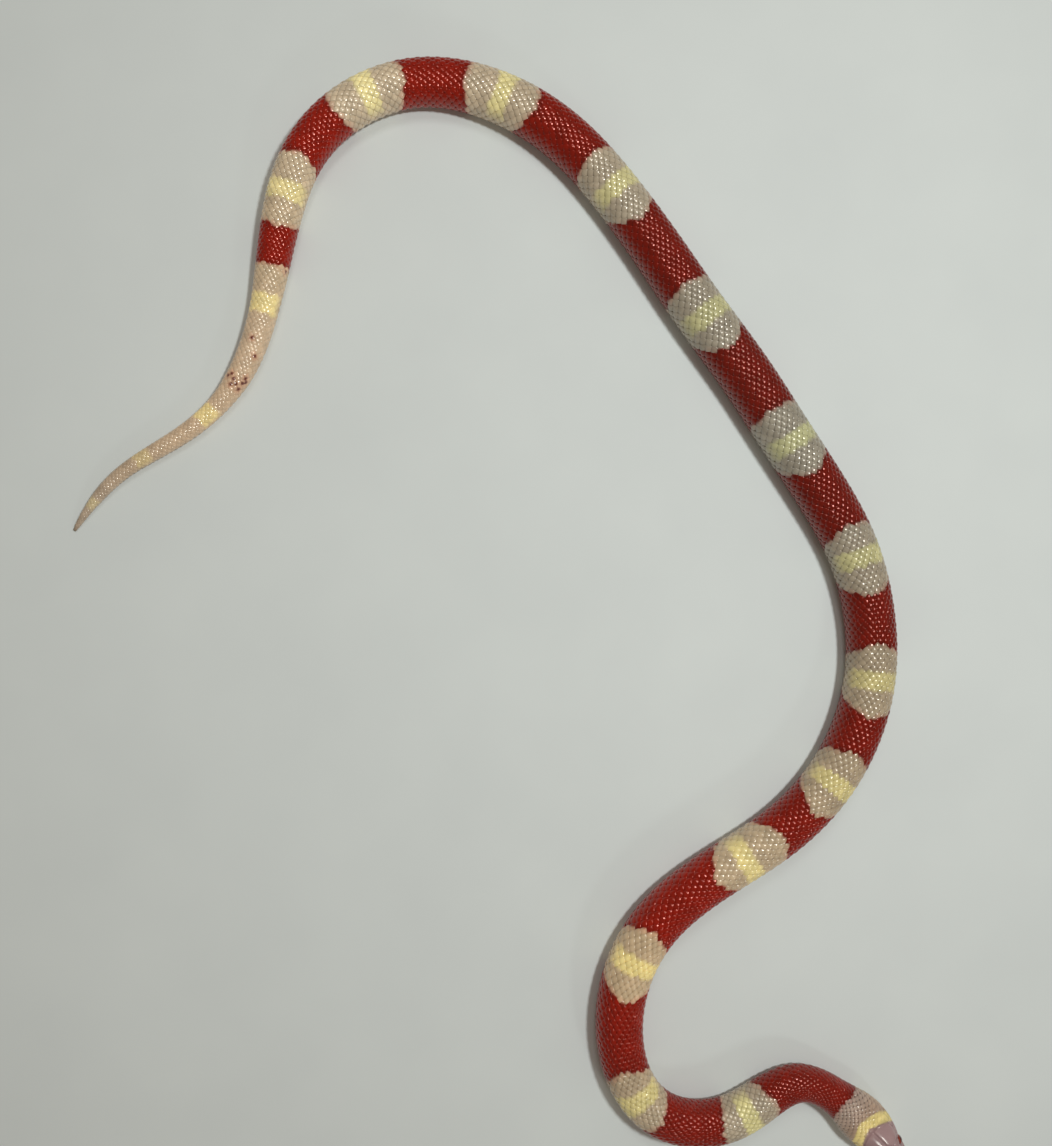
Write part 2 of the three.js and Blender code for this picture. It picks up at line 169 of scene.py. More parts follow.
# Studio board: matt painted fibreboard, so pale that it only carries the shadow. Its two tones lie
# in soft clouds, as a roller leaves them
board, board_tree, board_shader = new_material("painted_board")
board_place = add_node(board_tree, "ShaderNodeTexCoord").outputs["Object"]
board_clouds = add_node(
    board_tree,
    "ShaderNodeTexNoise",
    {"Vector": board_place, "Scale": 1 / BOARD_CLOUD_SIZE, "Detail": 3.0},
)
board_mix = add_node(
    board_tree,
    "ShaderNodeMix",
    {0: board_clouds.outputs[0], 6: linear(BOARD_TONES[0]), 7: linear(BOARD_TONES[1])},
    data_type="RGBA",
)
board_tree.links.new(board_mix.outputs[2], board_shader.inputs["Base Color"])
board_shader.inputs["Roughness"].default_value = BOARD_ROUGHNESS

half_side = FLOOR_SIDE / 2
floor_corners = [
    (-half_side, -half_side, 0),
    (half_side, -half_side, 0),
    (half_side, half_side, 0),
    (-half_side, half_side, 0),
]
floor = mesh_object("floor", floor_corners, [(0, 1, 2, 3)], board, smooth=False)
print("floor side in mm:", round(FLOOR_SIDE / MM))

# %% Lights
# Place, side and watts of each panel
PANELS = {
    "key_light": ((145 * MM, 70 * MM, 400 * MM), 45 * MM, 0.93),
    "back_light": ((-10 * MM, 245 * MM, 400 * MM), 110 * MM, 0.24),
    "head_light": ((260 * MM, -400 * MM, 285 * MM), 50 * MM, 0.15),
}
LAMP_COLOUR = (0.93, 0.99, 0.98)
ROOM_STRENGTH = 0.2
ROOM_COLOUR = (1.0, 0.86, 0.7, 1.0)


def panel_light(name, place, side, watts):
    """A square panel at place, turned to the middle of the floor."""
    data = bpy.data.lights.new(name, "AREA")
    data.energy = watts
    data.size = side
    data.color = LAMP_COLOUR
    lamp = bpy.data.objects.new(name, data)
    lamp.location = place
    lamp.rotation_euler = (-Vector(place)).to_track_quat("-Z", "Y").to_euler()
    bpy.context.scene.collection.objects.link(lamp)


for lamp_name, (lamp_place, lamp_side, lamp_watts) in PANELS.items():
    panel_light(lamp_name, lamp_place, lamp_side, lamp_watts)
room = bpy.data.worlds.new("room")
room.use_nodes = True
room.node_tree.nodes["Background"].inputs["Color"].default_value = ROOM_COLOUR
room.node_tree.nodes["Background"].inputs["Strength"].default_value = ROOM_STRENGTH
bpy.context.scene.world = room
bpy.context.scene.view_settings.view_transform = "Standard"

# %% [markdown]
# ## How the animal lies
#
# A snake at rest lies in smooth bends, and the line of its back was picked off every 15 mm. A cubic
# B-spline through those points has no kinks, because its bend changes evenly from point to point.
# The solids follow the same points, so the skin made here fits them exactly.

# %% Route of the body on the floor, in mm, from the snout to the tip of the tail
ROUTE = np.array([
    (83.4, -111.4), (73, -100.6), (60.6, -94.2), (47.2, -100.4), (32.4, -99), (24.8, -87),
    (25.4, -72.2), (32.6, -59.6), (44.6, -50.4), (57.2, -42.4), (67.8, -31.6), (74.4, -17.8),
    (76, -3), (73, 12.2), (66.4, 25.2), (57.8, 38.2), (49.8, 50.2), (40.6, 62.6), (32.2, 74.6),
    (23.2, 86.6), (12.8, 97.4), (-0.4, 105), (-15.6, 107.4), (-29.6, 102.2), (-39.2, 91.4),
    (-43.6, 77), (-46.4, 62.4), (-51.6, 48.6), (-61.8, 37.8), (-74.8, 29.2), (-84.2, 17.6),
])
CONTROL_SWEEPS = 40
SAMPLES_PER_SPAN = 40


def route_controls():
    """Control points of the spline, moved sweep by sweep until the curve meets the route's points."""
    controls = ROUTE.astype(float).copy()
    for _ in range(CONTROL_SWEEPS):
        for i in range(1, len(ROUTE) - 1):
            controls[i] = (6 * ROUTE[i] - controls[i - 1] - controls[i + 1]) / 4
    before = 2 * controls[0] - controls[1]
    after = 2 * controls[-1] - controls[-2]
    return np.vstack([before, controls, after])


CONTROLS = route_controls()


def spline(place, slope=False):
    """Points of the spline, or its direction, at places counted in spans from the snout."""
    start = np.minimum(place.astype(int), len(ROUTE) - 2)
    t = place - start
    if slope:
        weights = [
            -((1 - t) ** 2) / 2,
            (9 * t**2 - 12 * t) / 6,
            (-9 * t**2 + 6 * t + 3) / 6,
            t**2 / 2,
        ]
    else:
        weights = [
            (1 - t) ** 3 / 6,
            (3 * t**3 - 6 * t**2 + 4) / 6,
            (-3 * t**3 + 3 * t**2 + 3 * t + 1) / 6,
            t**3 / 6,
        ]
    return sum(weight[:, None] * CONTROLS[start + i] for i, weight in enumerate(weights))


PLACES = np.linspace(0, len(ROUTE) - 1, SAMPLES_PER_SPAN * (len(ROUTE) - 1) + 1)
STEPS = np.linalg.norm(np.diff(spline(PLACES), axis=0), axis=1)
DISTANCES = np.concatenate([[0], np.cumsum(STEPS)])


def lie(distance):
    """Place on the floor, direction of the spine and direction to the right, behind the snout."""
    place = np.interp(distance, DISTANCES, PLACES)
    along = spline(place, slope=True)
    along /= np.linalg.norm(along, axis=1)[:, None]
    right = np.stack([-along[:, 1], along[:, 0]], axis=1)
    return spline(place), along, right


print("length of the animal in mm:", round(DISTANCES[-1], 1))

# %% [markdown]
# ## How thick it is
#
# A milk snake's section is a rounded loaf: a domed back, full sides and a flat belly. Its width and
# height are given at a few stations and run smoothly between them. A station holds the distance
# behind the snout, the width, the height of the back and the height of the chin above the floor.

# %% Width and height of the body, in mm
GIRTH = np.array([
    (0, 0.8, 2.95, 2.35), (0.3, 2.6, 3.5, 1.55), (1, 4, 4.1, 0.8), (2.7, 5.3, 4.8, 0.3),
    (5, 6.3, 5.4, 0), (7.6, 8.1, 5.9, 0), (10, 9.3, 6.2, 0), (12.5, 9.8, 6.3, 0),
    (15, 9.4, 6.3, 0), (18, 8.1, 6.2, 0), (21, 7.2, 6.1, 0), (25, 7, 6.1, 0), (31, 7.4, 6.5, 0),
    (40, 8.2, 7.2, 0), (65, 8.9, 7.8, 0), (90, 9.6, 8.4, 0), (115, 9.8, 8.6, 0),
    (180, 9.8, 8.6, 0), (215, 10.5, 9.2, 0), (240, 10.5, 9.2, 0), (285, 9.8, 8.6, 0),
    (310, 9.5, 8.4, 0), (330, 8.9, 7.9, 0), (350, 8.6, 7.6, 0), (366, 8, 7, 0),
    (381, 6.7, 5.9, 0), (390, 5.7, 5, 0), (403, 5, 4.4, 0), (412, 4, 3.5, 0), (421, 3.6, 3.1, 0),
    (432, 3.1, 2.7, 0), (440, 2.6, 2.2, 0), (446, 1.6, 1.4, 0), (449.5, 0.7, 0.6, 0),
])
LENGTH = 449.5
VENT = 386
WIDEST_AT = 0.46
BACK_SQUARENESS = 2.15
BELLY_SQUARENESS = 2.5
BELLY_FLAT = 0.04
HALF_GIRTH = 16.5


def stations(table, column, distance):
    """Smooth values between the rows of a table, with no overshoot."""
    table = np.asarray(table, float)
    x, y = table[:, 0], table[:, column]
    slope = np.diff(y) / np.diff(x)
    before, after = slope[:-1], slope[1:]
    total = before + after
    shared = 2 * before * after / np.where(total == 0, 1, total)
    meet = np.where(before * after > 0, shared, 0)
    bend = np.concatenate([[slope[0]], meet, [slope[-1]]])
    d = np.clip(distance, x[0], x[-1])
    i = np.clip(np.searchsorted(x, d, side="right") - 1, 0, len(x) - 2)
    span = x[i + 1] - x[i]
    t = (d - x[i]) / span
    return (
        (2 * t**3 - 3 * t**2 + 1) * y[i]
        + (t**3 - 2 * t**2 + t) * span * bend[i]
        + (3 * t**2 - 2 * t**3) * y[i + 1]
        + (t**3 - t**2) * span * bend[i + 1]
    )


def loaf(distance, angle):
    """How far out and how high the section is, at angles from 0 on the back to pi on the belly."""
    half = stations(GIRTH, 1, distance) / 2
    top = stations(GIRTH, 2, distance)
    chin = stations(GIRTH, 3, distance)
    bottom = chin - BELLY_FLAT * (top - chin)
    middle = bottom + WIDEST_AT * (top - bottom)
    cosine = np.cos(angle)
    power = np.where(cosine >= 0, 2 / BACK_SQUARENESS, 2 / BELLY_SQUARENESS)
    out = half * np.clip(np.sin(angle), 0, 1) ** power
    reach = np.where(cosine >= 0, top - middle, bottom - middle)
    return out, middle + reach * np.abs(cosine) ** power


print("widest in mm:", GIRTH[:, 1].max())

# %% [markdown]
# ## A flat pattern for the skin
#
# Markings and scales are easier to lay out on a flat pattern than on a coiled body. The pattern has
# two measures: the distance behind the snout, and the girth share, which is 0 along the spine and
# runs with equal steps to 1 under the belly, on the right, and to -1 on the left. A table turns the
# girth share into an angle of the section, so that a row of scales keeps an even width.

# %% Places on the skin by distance and girth share
PATTERN_ROWS = 1799
PATTERN_COLUMNS = 161
SECTION_POINTS = 241
SIDE_SAMPLES = 401
PATTERN_DISTANCES = np.linspace(0, LENGTH, PATTERN_ROWS)
PATTERN_SHARES = np.linspace(0, 1, PATTERN_COLUMNS)
ANGLES = np.linspace(0, math.pi, SECTION_POINTS)


def girth_table():
    """Angles at even girth shares and the half girth, for each distance of the pattern."""
    angles = []
    halves = []
    for distance in PATTERN_DISTANCES:
        out, height = loaf(np.full(len(ANGLES), distance), ANGLES)
        run = np.concatenate([[0], np.cumsum(np.hypot(np.diff(out), np.diff(height)))])
        angles.append(np.interp(PATTERN_SHARES, run / run[-1], ANGLES))
        halves.append(run[-1])
    return np.array(angles), np.array(halves)


ANGLE_TABLE, HALF_GIRTHS = girth_table()


def half_girth(distance):
    """Way round one side of the body, from the spine to the middle of the belly, in mm."""
    return np.interp(distance, PATTERN_DISTANCES, HALF_GIRTHS)


def turned_in(share):
    """A girth share that has run on round the belly, brought back between -1 and 1."""
    return (share + 1) % 2 - 1


def surface(distance, share):
    """Points of the body in mm. Girth shares past 1 or -1 go on round the belly."""
    share = turned_in(share)
    row = np.clip(distance / LENGTH, 0, 1) * (PATTERN_ROWS - 1)
    column = np.abs(share) * (PATTERN_COLUMNS - 1)
    i = np.minimum(row.astype(int), PATTERN_ROWS - 2)
    j = np.minimum(column.astype(int), PATTERN_COLUMNS - 2)
    down = row - i
    across = column - j
    upper = (1 - across) * ANGLE_TABLE[i, j] + across * ANGLE_TABLE[i, j + 1]
    lower = (1 - across) * ANGLE_TABLE[i + 1, j] + across * ANGLE_TABLE[i + 1, j + 1]
    angle = (1 - down) * upper + down * lower
    out, height = loaf(distance, angle)
    place, _, right = lie(distance)
    level = place + right * (out * np.sign(share))[:, None]
    return np.column_stack([level, np.maximum(height, 0)])


def share_at_height(distance, height):
    """Girth share at which the side of the body has a given height, for single numbers."""
    shares = np.linspace(0, 1, SIDE_SAMPLES)
    heights = surface(np.full(len(shares), float(distance)), shares)[:, 2]
    return float(np.interp(-height, -heights, shares))


print("half girth at mid-body in mm:", round(float(half_girth(195)), 1))

# %% [markdown]
# ## The markings
#
# Albino milk snakes keep the red rings and lose the black, so red meets pale directly. Each ring
# is narrowest a little to the right of the spine and flares down the flanks, by its own amount at
# its front and at its rear. A thread of maroon and a blush follow its edge where the black would
# be. Each pale band has a straight lemon bar across the back. One rule gives the share of each
# pigment from the place on the pattern, and both the skin and the scales use it.

# %% Where the pigments are, in mm behind the snout
# Start and end on the spine, and how much longer the ring is on the flank at each
RED_RINGS = [
    (20.0, 34.7, 1.4, 1.6), (47.1, 59.6, 1.2, 1.4), (72.7, 86.3, 2.0, 3.0), (101.2, 116.8, 2.2, 3.1),
    (133.2, 140.2, 2.6, 3.5), (155.3, 162.9, 1.8, 2.4), (178.3, 187.9, 2.2, 2.4), (203.2, 215.4, 2.2, 3.0),
    (230.8, 245.3, 1.2, 3.2), (260.9, 276.1, 1.2, 3.1), (292.5, 306.1, 1.6, 2.0), (321.6, 333.5, 1.2, 1.4),
    (349.5, 359.8, 1.6, 1.2), (374.7, 382.1, 0.9, -0.3),
]
FLANK_SHARE = 0.4
RING_WAIST = 0.03
FLARE_POWER = 1.15
FLARE_END = 0.6
# How the colours change along the animal: distance, depth of tone, and how cool they are. The depth
# of tone is painted light and shade: it makes stretches that turn away from the lamp darker and
# those that face it lighter
SHADE_AND_HUE_ALONG = [
    (10, 1.3, 0.15), (14, 1.33, 0.0), (17, 1.28, 0.3), (20, 1.2, 0.35), (30, 1.12, 0.6),
    (50, 1.22, 0.55), (70, 1.28, 0.25), (94, 1.6, 0.05), (124, 1.42, 0.2), (148, 1.12, 0.25),
    (171, 0.97, 0.38), (196, 0.84, 0.72), (223, 0.79, 1.0), (253, 0.83, 0.85), (284, 1.04, 0.65),
    (314, 1.35, 0.45), (341, 1.65, 0.45), (390, 1.6, 0.15), (414, 1.6, 0.05), (430, 1.33, 0.1),
    (443, 1.15, 0.35),
]
# How light the skin between pale scales is: darkest on the nape
SKIN_BETWEEN = [
    (13, 0.9), (15.5, 0.18), (20, 0.18), (23, 0.5), (60, 0.78), (375, 0.85), (392, 0.97), (450, 0.97),
]
# Lemon bars: middle, half length, strength
LEMON_BARS = [
    (40.8, 1.75, 1.0), (66.1, 1.8, 0.95), (93.8, 1.75, 0.95), (124.2, 1.85, 0.88), (147.9, 1.75, 0.9),
    (170.6, 1.9, 0.9), (195.9, 1.9, 0.9), (223.1, 1.85, 0.85), (253.4, 1.85, 0.85), (284.4, 1.8, 0.85),
    (313.6, 1.8, 0.85), (341.3, 1.9, 0.75), (367.4, 1.8, 0.7), (389.6, 1.85, 0.75), (414.4, 1.9, 0.7),
    (429.5, 1.6, 0.4), (442.9, 1.2, 0.35),
]
# The lemon band of the nape: its place, its bend, and its half length, which grows off the spine
NAPE_BAND = 13.7
NAPE_BAND_BEND = 12.3
NAPE_BAND_POWER = 1.43
NAPE_BAND_MIDDLE = 0.02
NAPE_BAND_HALF = 1.0
NAPE_BAND_GROWTH = 2.0
NAPE_BAND_FULL = 0.25
# Single dark scales on the tail: distance and girth share
DARK_SPECKS = [
    (396.8, -0.01), (399.9, 0.21), (404.9, -0.12), (405.6, -0.2), (405.6, 0.0), (406.8, 0.01),
    (406.2, 0.12), (404.4, 0.27), (405.5, 0.27), (406.8, 0.27), (405.0, 0.35), (382.6, 0.38),
]
SPECK_SIZE = 0.36
SPECK_EDGE = (0.6 * SPECK_SIZE, 1.3 * SPECK_SIZE)
FAR_AWAY = 99.0

# Where each pigment comes in or goes, between two places in mm
RED_EDGE = (-0.12, 0.16)
BLUSH_EDGE = (-1.1, -0.1)
SPECK_BLUSH = (0.4, 1.3)
LEMON_EDGE = (-0.4, 0.4)
NAPE_BAND_EDGE = (-0.15, 0.25)
CAP_EDGE = (-1.5, -0.9)
GREY_NAPE_START = (1.0, 1.5)
GREY_NAPE_END = (20, 23)
CHIN_END = (10, 14)
TAIL_START = (380, 402)
# The same on the flanks, between two girth shares
LEMON_FLANK = (0.26, 0.58)
NAPE_BAND_FLANK = (0.5, 0.62)
CAP_FLANK = (0.4, 0.62)
RED_FLANK = (0.7, 0.9)
BELLY_FLANK = (0.66, 0.84)
CHIN_FLANK = (0.5, 0.6)
# The maroon thread inside a ring's edge, and the most of each pale pigment
MAROON_DEPTH = 0.32
MAROON_WIDTH = 0.3
MAROON_MOST = 0.5
BLUSH_MOST = 0.55
GREY_NAPE_MOST = 0.45
RED_LOST_BELOW = 0.7
print("red rings:", len(RED_RINGS), "lemon bars:", len(LEMON_BARS) + 1)


# %% Share of each pigment at a place
def ring_depth(distance, share):
    """How deep a place lies inside the nearest red ring, in mm, and negative outside it."""
    flare = (np.minimum(np.abs(share - RING_WAIST), FLARE_END) / FLANK_SHARE) ** FLARE_POWER
    depth = np.full(len(distance), -FAR_AWAY)
    for start, end, front_flare, rear_flare in RED_RINGS:
        from_front = distance - start + front_flare * flare
        from_rear = end + rear_flare * flare - distance
        depth = np.maximum(depth, np.minimum(from_front, from_rear))
    return depth


def from_speck(distance, share):
    """Distance in mm from the nearest dark speck of the tail."""
    away = np.full(len(distance), FAR_AWAY)
    for speck, side in DARK_SPECKS:
        away = np.minimum(away, np.hypot(distance - speck, (share - side) * half_girth(distance)))
    return away


def fleck(distance, share):
    """How much a place is covered by one of the dark specks."""
    return 1 - smooth_step(*SPECK_EDGE, from_speck(distance, share))


def markings(distance, share, ragged=0.0):
    """Share of each pigment. ragged moves the edges, in mm, by a draw for each scale."""
    share = turned_in(share)
    off = np.abs(share)
    depth = ring_depth(distance, share) + ragged
    red = smooth_step(*RED_EDGE, depth)
    lemon = np.zeros(len(distance))
    for middle, half_length, strength in LEMON_BARS:
        bar = half_length - np.abs(distance - middle) + ragged
        lemon = np.maximum(lemon, strength * smooth_step(*LEMON_EDGE, bar))
    lemon = lemon * (1 - smooth_step(*LEMON_FLANK, off))
    nape = distance - NAPE_BAND + NAPE_BAND_BEND * np.abs(share - NAPE_BAND_MIDDLE) ** NAPE_BAND_POWER
    nape_band = NAPE_BAND_HALF + NAPE_BAND_GROWTH * np.minimum(off, NAPE_BAND_FULL) - np.abs(nape)
    nape_lemon = smooth_step(*NAPE_BAND_EDGE, nape_band) * (1 - smooth_step(*NAPE_BAND_FLANK, off))
    cap = 1 - smooth_step(*CAP_EDGE, nape)
    grey_nape = smooth_step(*GREY_NAPE_START, nape) * (1 - smooth_step(*GREY_NAPE_END, distance))
    grey_nape = grey_nape * GREY_NAPE_MOST * (1 - red)
    ring_blush = smooth_step(*BLUSH_EDGE, depth)
    speck_blush = 1 - smooth_step(*SPECK_BLUSH, from_speck(distance, share))
    chin = smooth_step(*CHIN_FLANK, off) * (1 - smooth_step(*CHIN_END, distance))
    return {
        "red": red * (1 - RED_LOST_BELOW * smooth_step(*RED_FLANK, off)),
        "maroon": np.exp(-(((depth - MAROON_DEPTH) / MAROON_WIDTH) ** 2)) * MAROON_MOST,
        "lemon": np.maximum(lemon, nape_lemon),
        "blush": np.maximum(ring_blush, speck_blush) * BLUSH_MOST,
        "mauve": np.maximum(cap, grey_nape) * (1 - smooth_step(*CAP_FLANK, off)),
        "tail": smooth_step(*TAIL_START, distance),
        "belly": np.maximum(smooth_step(*BELLY_FLANK, off), chin),
        "fleck": fleck(distance, share),
        "cool": stations(SHADE_AND_HUE_ALONG, 2, distance),
    }


nape_pigments = markings(np.array([NAPE_BAND]), np.array([0.0]))
print("pigments on the nape:", {name: round(float(amount[0]), 2) for name, amount in nape_pigments.items()})

# %% [markdown]
# ## Keratin and skin
#
# A snake's scale is keratin, the stuff of fingernails: horny, slightly see-through and polished by
# rubbing, with an index of refraction near 1.55. Its colour lies below it, in the skin. The material
# mixes the pigments by the shares stored on each mesh, adds a patchiness of a few millimetres and a
# darker rim to each scale, and multiplies in painted light and shade: the stored tone and the depth.
# It ends in one Principled shader, whose specular level is the polish.
# The red is so deep that it stains even the gloss over it, so the gloss is tinted there.

# %% Pigmented materials
PALE = "b69c7c"
# In the order in which they are laid over the pale ground
COLOURS = {
    "tail": "ba9f83",
    "lemon": "e1ca85",
    "blush": "b88468",
    "belly": "c4ae9c",
    "red": "7a1004",
    "maroon": "520b05",
    "mauve": "9b7c7a",
    "fleck": "55160f",
}
# Factors in linear light: what a cool stretch does to the colour, and the tints of the gloss
COOL = (1.0, 1.23, 1.6, 1.0)
GLOSS_ON_PALE = (1.0, 0.93, 0.86, 1.0)
GLOSS_ON_RED = (1.0, 0.42, 0.36, 1.0)
KERATIN_IOR = 1.55
PATCH_SIZE = 2.5 * MM
PATCH_NOISE = (0.3, 0.7)
PATCH_TONES = (0.86, 1.1)
# The grain of real horn is far finer, and is drawn this coarse so that a close view shows it
GRAIN_SIZE = 0.12 * MM
GRAIN_HEIGHT = 0.02 * MM
GRAIN_STRENGTH = 0.06
RIM_START = 0.55


def pigmented(name, roughness, polish, depth, rim_dark):
    """Skin or horn whose colour follows the pigment shares. depth darkens what lies deep, as painted shade.
    """
    material, tree, shader = new_material(name)
    where = add_node(tree, "ShaderNodeTexCoord").outputs["Object"]
    stored = {
        attribute: add_node(tree, "ShaderNodeAttribute", attribute_name=attribute).outputs["Fac"]
        for attribute in (*COLOURS, "cool", "tone", "rim")
    }
    colour = linear(PALE)
    for pigment, hex_colour in COLOURS.items():
        layers = {0: stored[pigment], 6: colour, 7: linear(hex_colour)}
        colour = add_node(tree, "ShaderNodeMix", layers, data_type="RGBA").outputs[2]
    layers = {0: stored["cool"], 6: colour, 7: COOL}
    cooled = add_node(tree, "ShaderNodeMix", layers, data_type="RGBA", blend_type="MULTIPLY")
    layers = {0: stored["red"], 6: GLOSS_ON_PALE, 7: GLOSS_ON_RED}
    gloss = add_node(tree, "ShaderNodeMix", layers, data_type="RGBA")

    patch_scale = {"Vector": where, "Scale": 1 / PATCH_SIZE, "Detail": 2.0}
    patches = add_node(tree, "ShaderNodeTexNoise", patch_scale)
    patch_range = {
        0: patches.outputs[0],
        1: PATCH_NOISE[0],
        2: PATCH_NOISE[1],
        3: PATCH_TONES[0],
        4: PATCH_TONES[1],
    }
    patch_tone = add_node(tree, "ShaderNodeMapRange", patch_range)
    rim_range = {0: stored["rim"], 1: RIM_START, 2: 1.0, 3: 1.0, 4: rim_dark}
    rim_tone = add_node(tree, "ShaderNodeMapRange", rim_range)
    # The stored tone holds painted light and shade along the body, and depth is painted shade on what lies
    # deep
    tone = stored["tone"]
    for factor in (patch_tone.outputs[0], rim_tone.outputs[0], depth):
        tone = add_node(tree, "ShaderNodeMath", {0: tone, 1: factor}, operation="MULTIPLY").outputs[0]
    shaded = {0: cooled.outputs[2], 3: tone}
    base_colour = add_node(tree, "ShaderNodeVectorMath", shaded, operation="SCALE")

    grain_scale = {"Vector": where, "Scale": 1 / GRAIN_SIZE, "Detail": 1.0}
    grain = add_node(tree, "ShaderNodeTexNoise", grain_scale)
    relief = {"Height": grain.outputs[0], "Strength": GRAIN_STRENGTH, "Distance": GRAIN_HEIGHT}
    bump = add_node(tree, "ShaderNodeBump", relief)
    tree.links.new(gloss.outputs[2], shader.inputs["Specular Tint"])
    tree.links.new(base_colour.outputs[0], shader.inputs["Base Color"])
    tree.links.new(bump.outputs[0], shader.inputs["Normal"])
    shader.inputs["Roughness"].default_value = roughness
    shader.inputs["IOR"].default_value = KERATIN_IOR
    shader.inputs["Specular IOR Level"].default_value = polish
    return material


# Horn of the body's scales, worn smooth: small, sharp glints
scale_keratin = pigmented("scale_keratin", roughness=0.13, polish=0.9, depth=1.0, rim_dark=0.8)
# Thicker horn of the head's shields, a little duller: broad, soft highlights
shield_keratin = pigmented("shield_keratin", roughness=0.2, polish=0.8, depth=1.0, rim_dark=0.8)
# Soft, dull skin, which shows as a thin line between the scales. Its depth of 0.85 is painted shade,
# because it lies deep between them
soft_skin = pigmented("soft_skin", roughness=0.6, polish=0.1, depth=0.85, rim_dark=1.0)
print("materials:", [m.name for m in (scale_keratin, shield_keratin, soft_skin)])

# %% [markdown]
# ## One skin
#
# The solids are cut into lengths, but an animal has one skin. It is a net of rings and columns laid
# over the pattern, so it could also be lofted by a modifier, but in numbers it can carry the mouth,
# the eye sockets and the nostrils as well. It lies inside the solids by the thickness of the
# scales, which fill up the rest.

# %% Sculpting of the head, in mm
MOUTH_CORNER = 11.7
MOUTH_LINE = [(0, 2.15), (2.75, 2.1), (5.5, 2.25), (8.8, 2.1), (11.7, 2.5)]
MOUTH_DEPTH = 0.3
MOUTH_WIDTH = 0.17
MOUTH_FADE = (MOUTH_CORNER - 0.2, MOUTH_CORNER + 0.5)
EYE_AT = 4.95
EYE_HEIGHT = 3.75
NOSTRIL_AT = 1.25
NOSTRIL_HEIGHT = 3.25
# Round forms in the side of the head: distance, height above the floor, radius and rise
HEAD_FORMS = {
    "eye socket": (EYE_AT, EYE_HEIGHT, 0.75, -0.5),
    "brow": (EYE_AT + 0.2, EYE_HEIGHT + 1, 0.7, 0.12),
    "dip before the eye": (3.05, 3.55, 0.75, -0.16),
    "nostril": (NOSTRIL_AT, NOSTRIL_HEIGHT, 0.2, -0.5),
}
SIDE_SHARES = (0.15, 0.3)
# The crease down the middle of the crown, between the two largest shields
CREASE_DEPTH = 0.07
CREASE_SHARE = 0.05
CREASE_START = (6.5, 8.5)
CREASE_END = (11, 13)


def mouth_height(distance):
    """Height of the mouth's line above the floor."""
    return stations(MOUTH_LINE, 1, distance)


def round_form(distance, height, centre, centre_height, radius):
    """1 at the middle of a round form in the side of the head, and 0 well outside it."""
    return np.exp(-((distance - centre) ** 2 + (height - centre_height) ** 2) / radius**2)


def sculpt(distance, share, height):
    """How far the head's skin stands out from the plain form."""
    side = smooth_step(*SIDE_SHARES, np.abs(share))
    closed = 1 - smooth_step(*MOUTH_FADE, distance)
    lips = np.exp(-(((height - mouth_height(distance)) / MOUTH_WIDTH) ** 2))
    rise = -MOUTH_DEPTH * lips * closed * side
    for centre, centre_height, radius, amount in HEAD_FORMS.values():
        rise += amount * round_form(distance, height, centre, centre_height, radius) * side
    crease = np.exp(-((share / CREASE_SHARE) ** 2))
    begun = smooth_step(*CREASE_START, distance)
    left = 1 - smooth_step(*CREASE_END, distance)
    return rise - CREASE_DEPTH * crease * begun * left


print("mouth at its corner in mm:", round(float(mouth_height(np.array([MOUTH_CORNER]))[0]), 2))

# %% Skin from the snout to the tip of the tail
SKIN_AROUND = 112
HEAD_STEP = 0.22
BODY_STEP = 0.66
HEAD_START = 1.08
HEAD_END = 15
SNOUT_RINGS = [0, 0.04, 0.1, 0.18, 0.28, 0.4, 0.54, 0.7, 0.88]
# How deep the skin lies in the solids, in mm, or as a share of the half width where that is less
COAT_DEPTH = 0.16
COAT_SHARE = 0.16
PATTERN_STRIPS = 4
STRIP_LENGTH = LENGTH / PATTERN_STRIPS
STRIP_MARGIN = 0.01


def skin_rows():
    """Distances of the skin's rings: close on the snout, fine on the head, wider on the body."""
    head = np.arange(HEAD_START, HEAD_END, HEAD_STEP)
    body = np.linspace(HEAD_END, LENGTH, int((LENGTH - HEAD_END) / BODY_STEP))
    return np.concatenate([SNOUT_RINGS, head, body])


def fold(distance, share, strip=None):
    """Place on the unwrap: the long pattern is cut into strips that lie one above the other."""
    if strip is None:
        strip = np.minimum(distance // STRIP_LENGTH, PATTERN_STRIPS - 1)
    used = 1 - 2 * STRIP_MARGIN
    u = STRIP_MARGIN + used * (distance / STRIP_LENGTH - strip)
    v = (strip + STRIP_MARGIN + used * (share + 1) / 2) / PATTERN_STRIPS
    return np.stack([u, v], axis=-1)


def store(mesh, name, values, domain="POINT", kind="FLOAT", field="value"):
    """Stores an attribute on a mesh from an array."""
    layer = mesh.attributes.new(name, kind, domain)
    layer.data.foreach_set(field, np.ascontiguousarray(values, np.float32).ravel())


rows = skin_rows()
shares = -1 + 2 * np.arange(SKIN_AROUND) / SKIN_AROUND
row_grid, share_grid = np.meshgrid(rows, shares, indexing="ij")
plain = surface(row_grid.ravel(), share_grid.ravel()).reshape(len(rows), SKIN_AROUND, 3)
wrapped_plain = np.concatenate([plain[:, -1:], plain, plain[:, :1]], axis=1)
along_slope = np.gradient(plain, rows, axis=0)
round_slope = (wrapped_plain[:, 2:] - wrapped_plain[:, :-2]) / 2
outward = np.cross(along_slope, round_slope)
outward /= np.linalg.norm(outward, axis=2)[:, :, None]
coat_depth = np.minimum(COAT_DEPTH, COAT_SHARE * stations(GIRTH, 1, rows) / 2)[:, None]
rise = sculpt(row_grid.ravel(), share_grid.ravel(), plain[:, :, 2].ravel()).reshape(row_grid.shape)
skin_grid = plain + outward * (rise - coat_depth)[:, :, None]
skin_points = np.vstack([skin_grid.reshape(-1, 3), skin_grid[0].mean(0), skin_grid[-1].mean(0)])
print("skin rings:", len(rows), "points:", len(skin_points))

# %% Faces of the skin, its unwraps and its pigments
POLE_GAP = 0.05
PALE_FLANK = (0.42, 0.55)

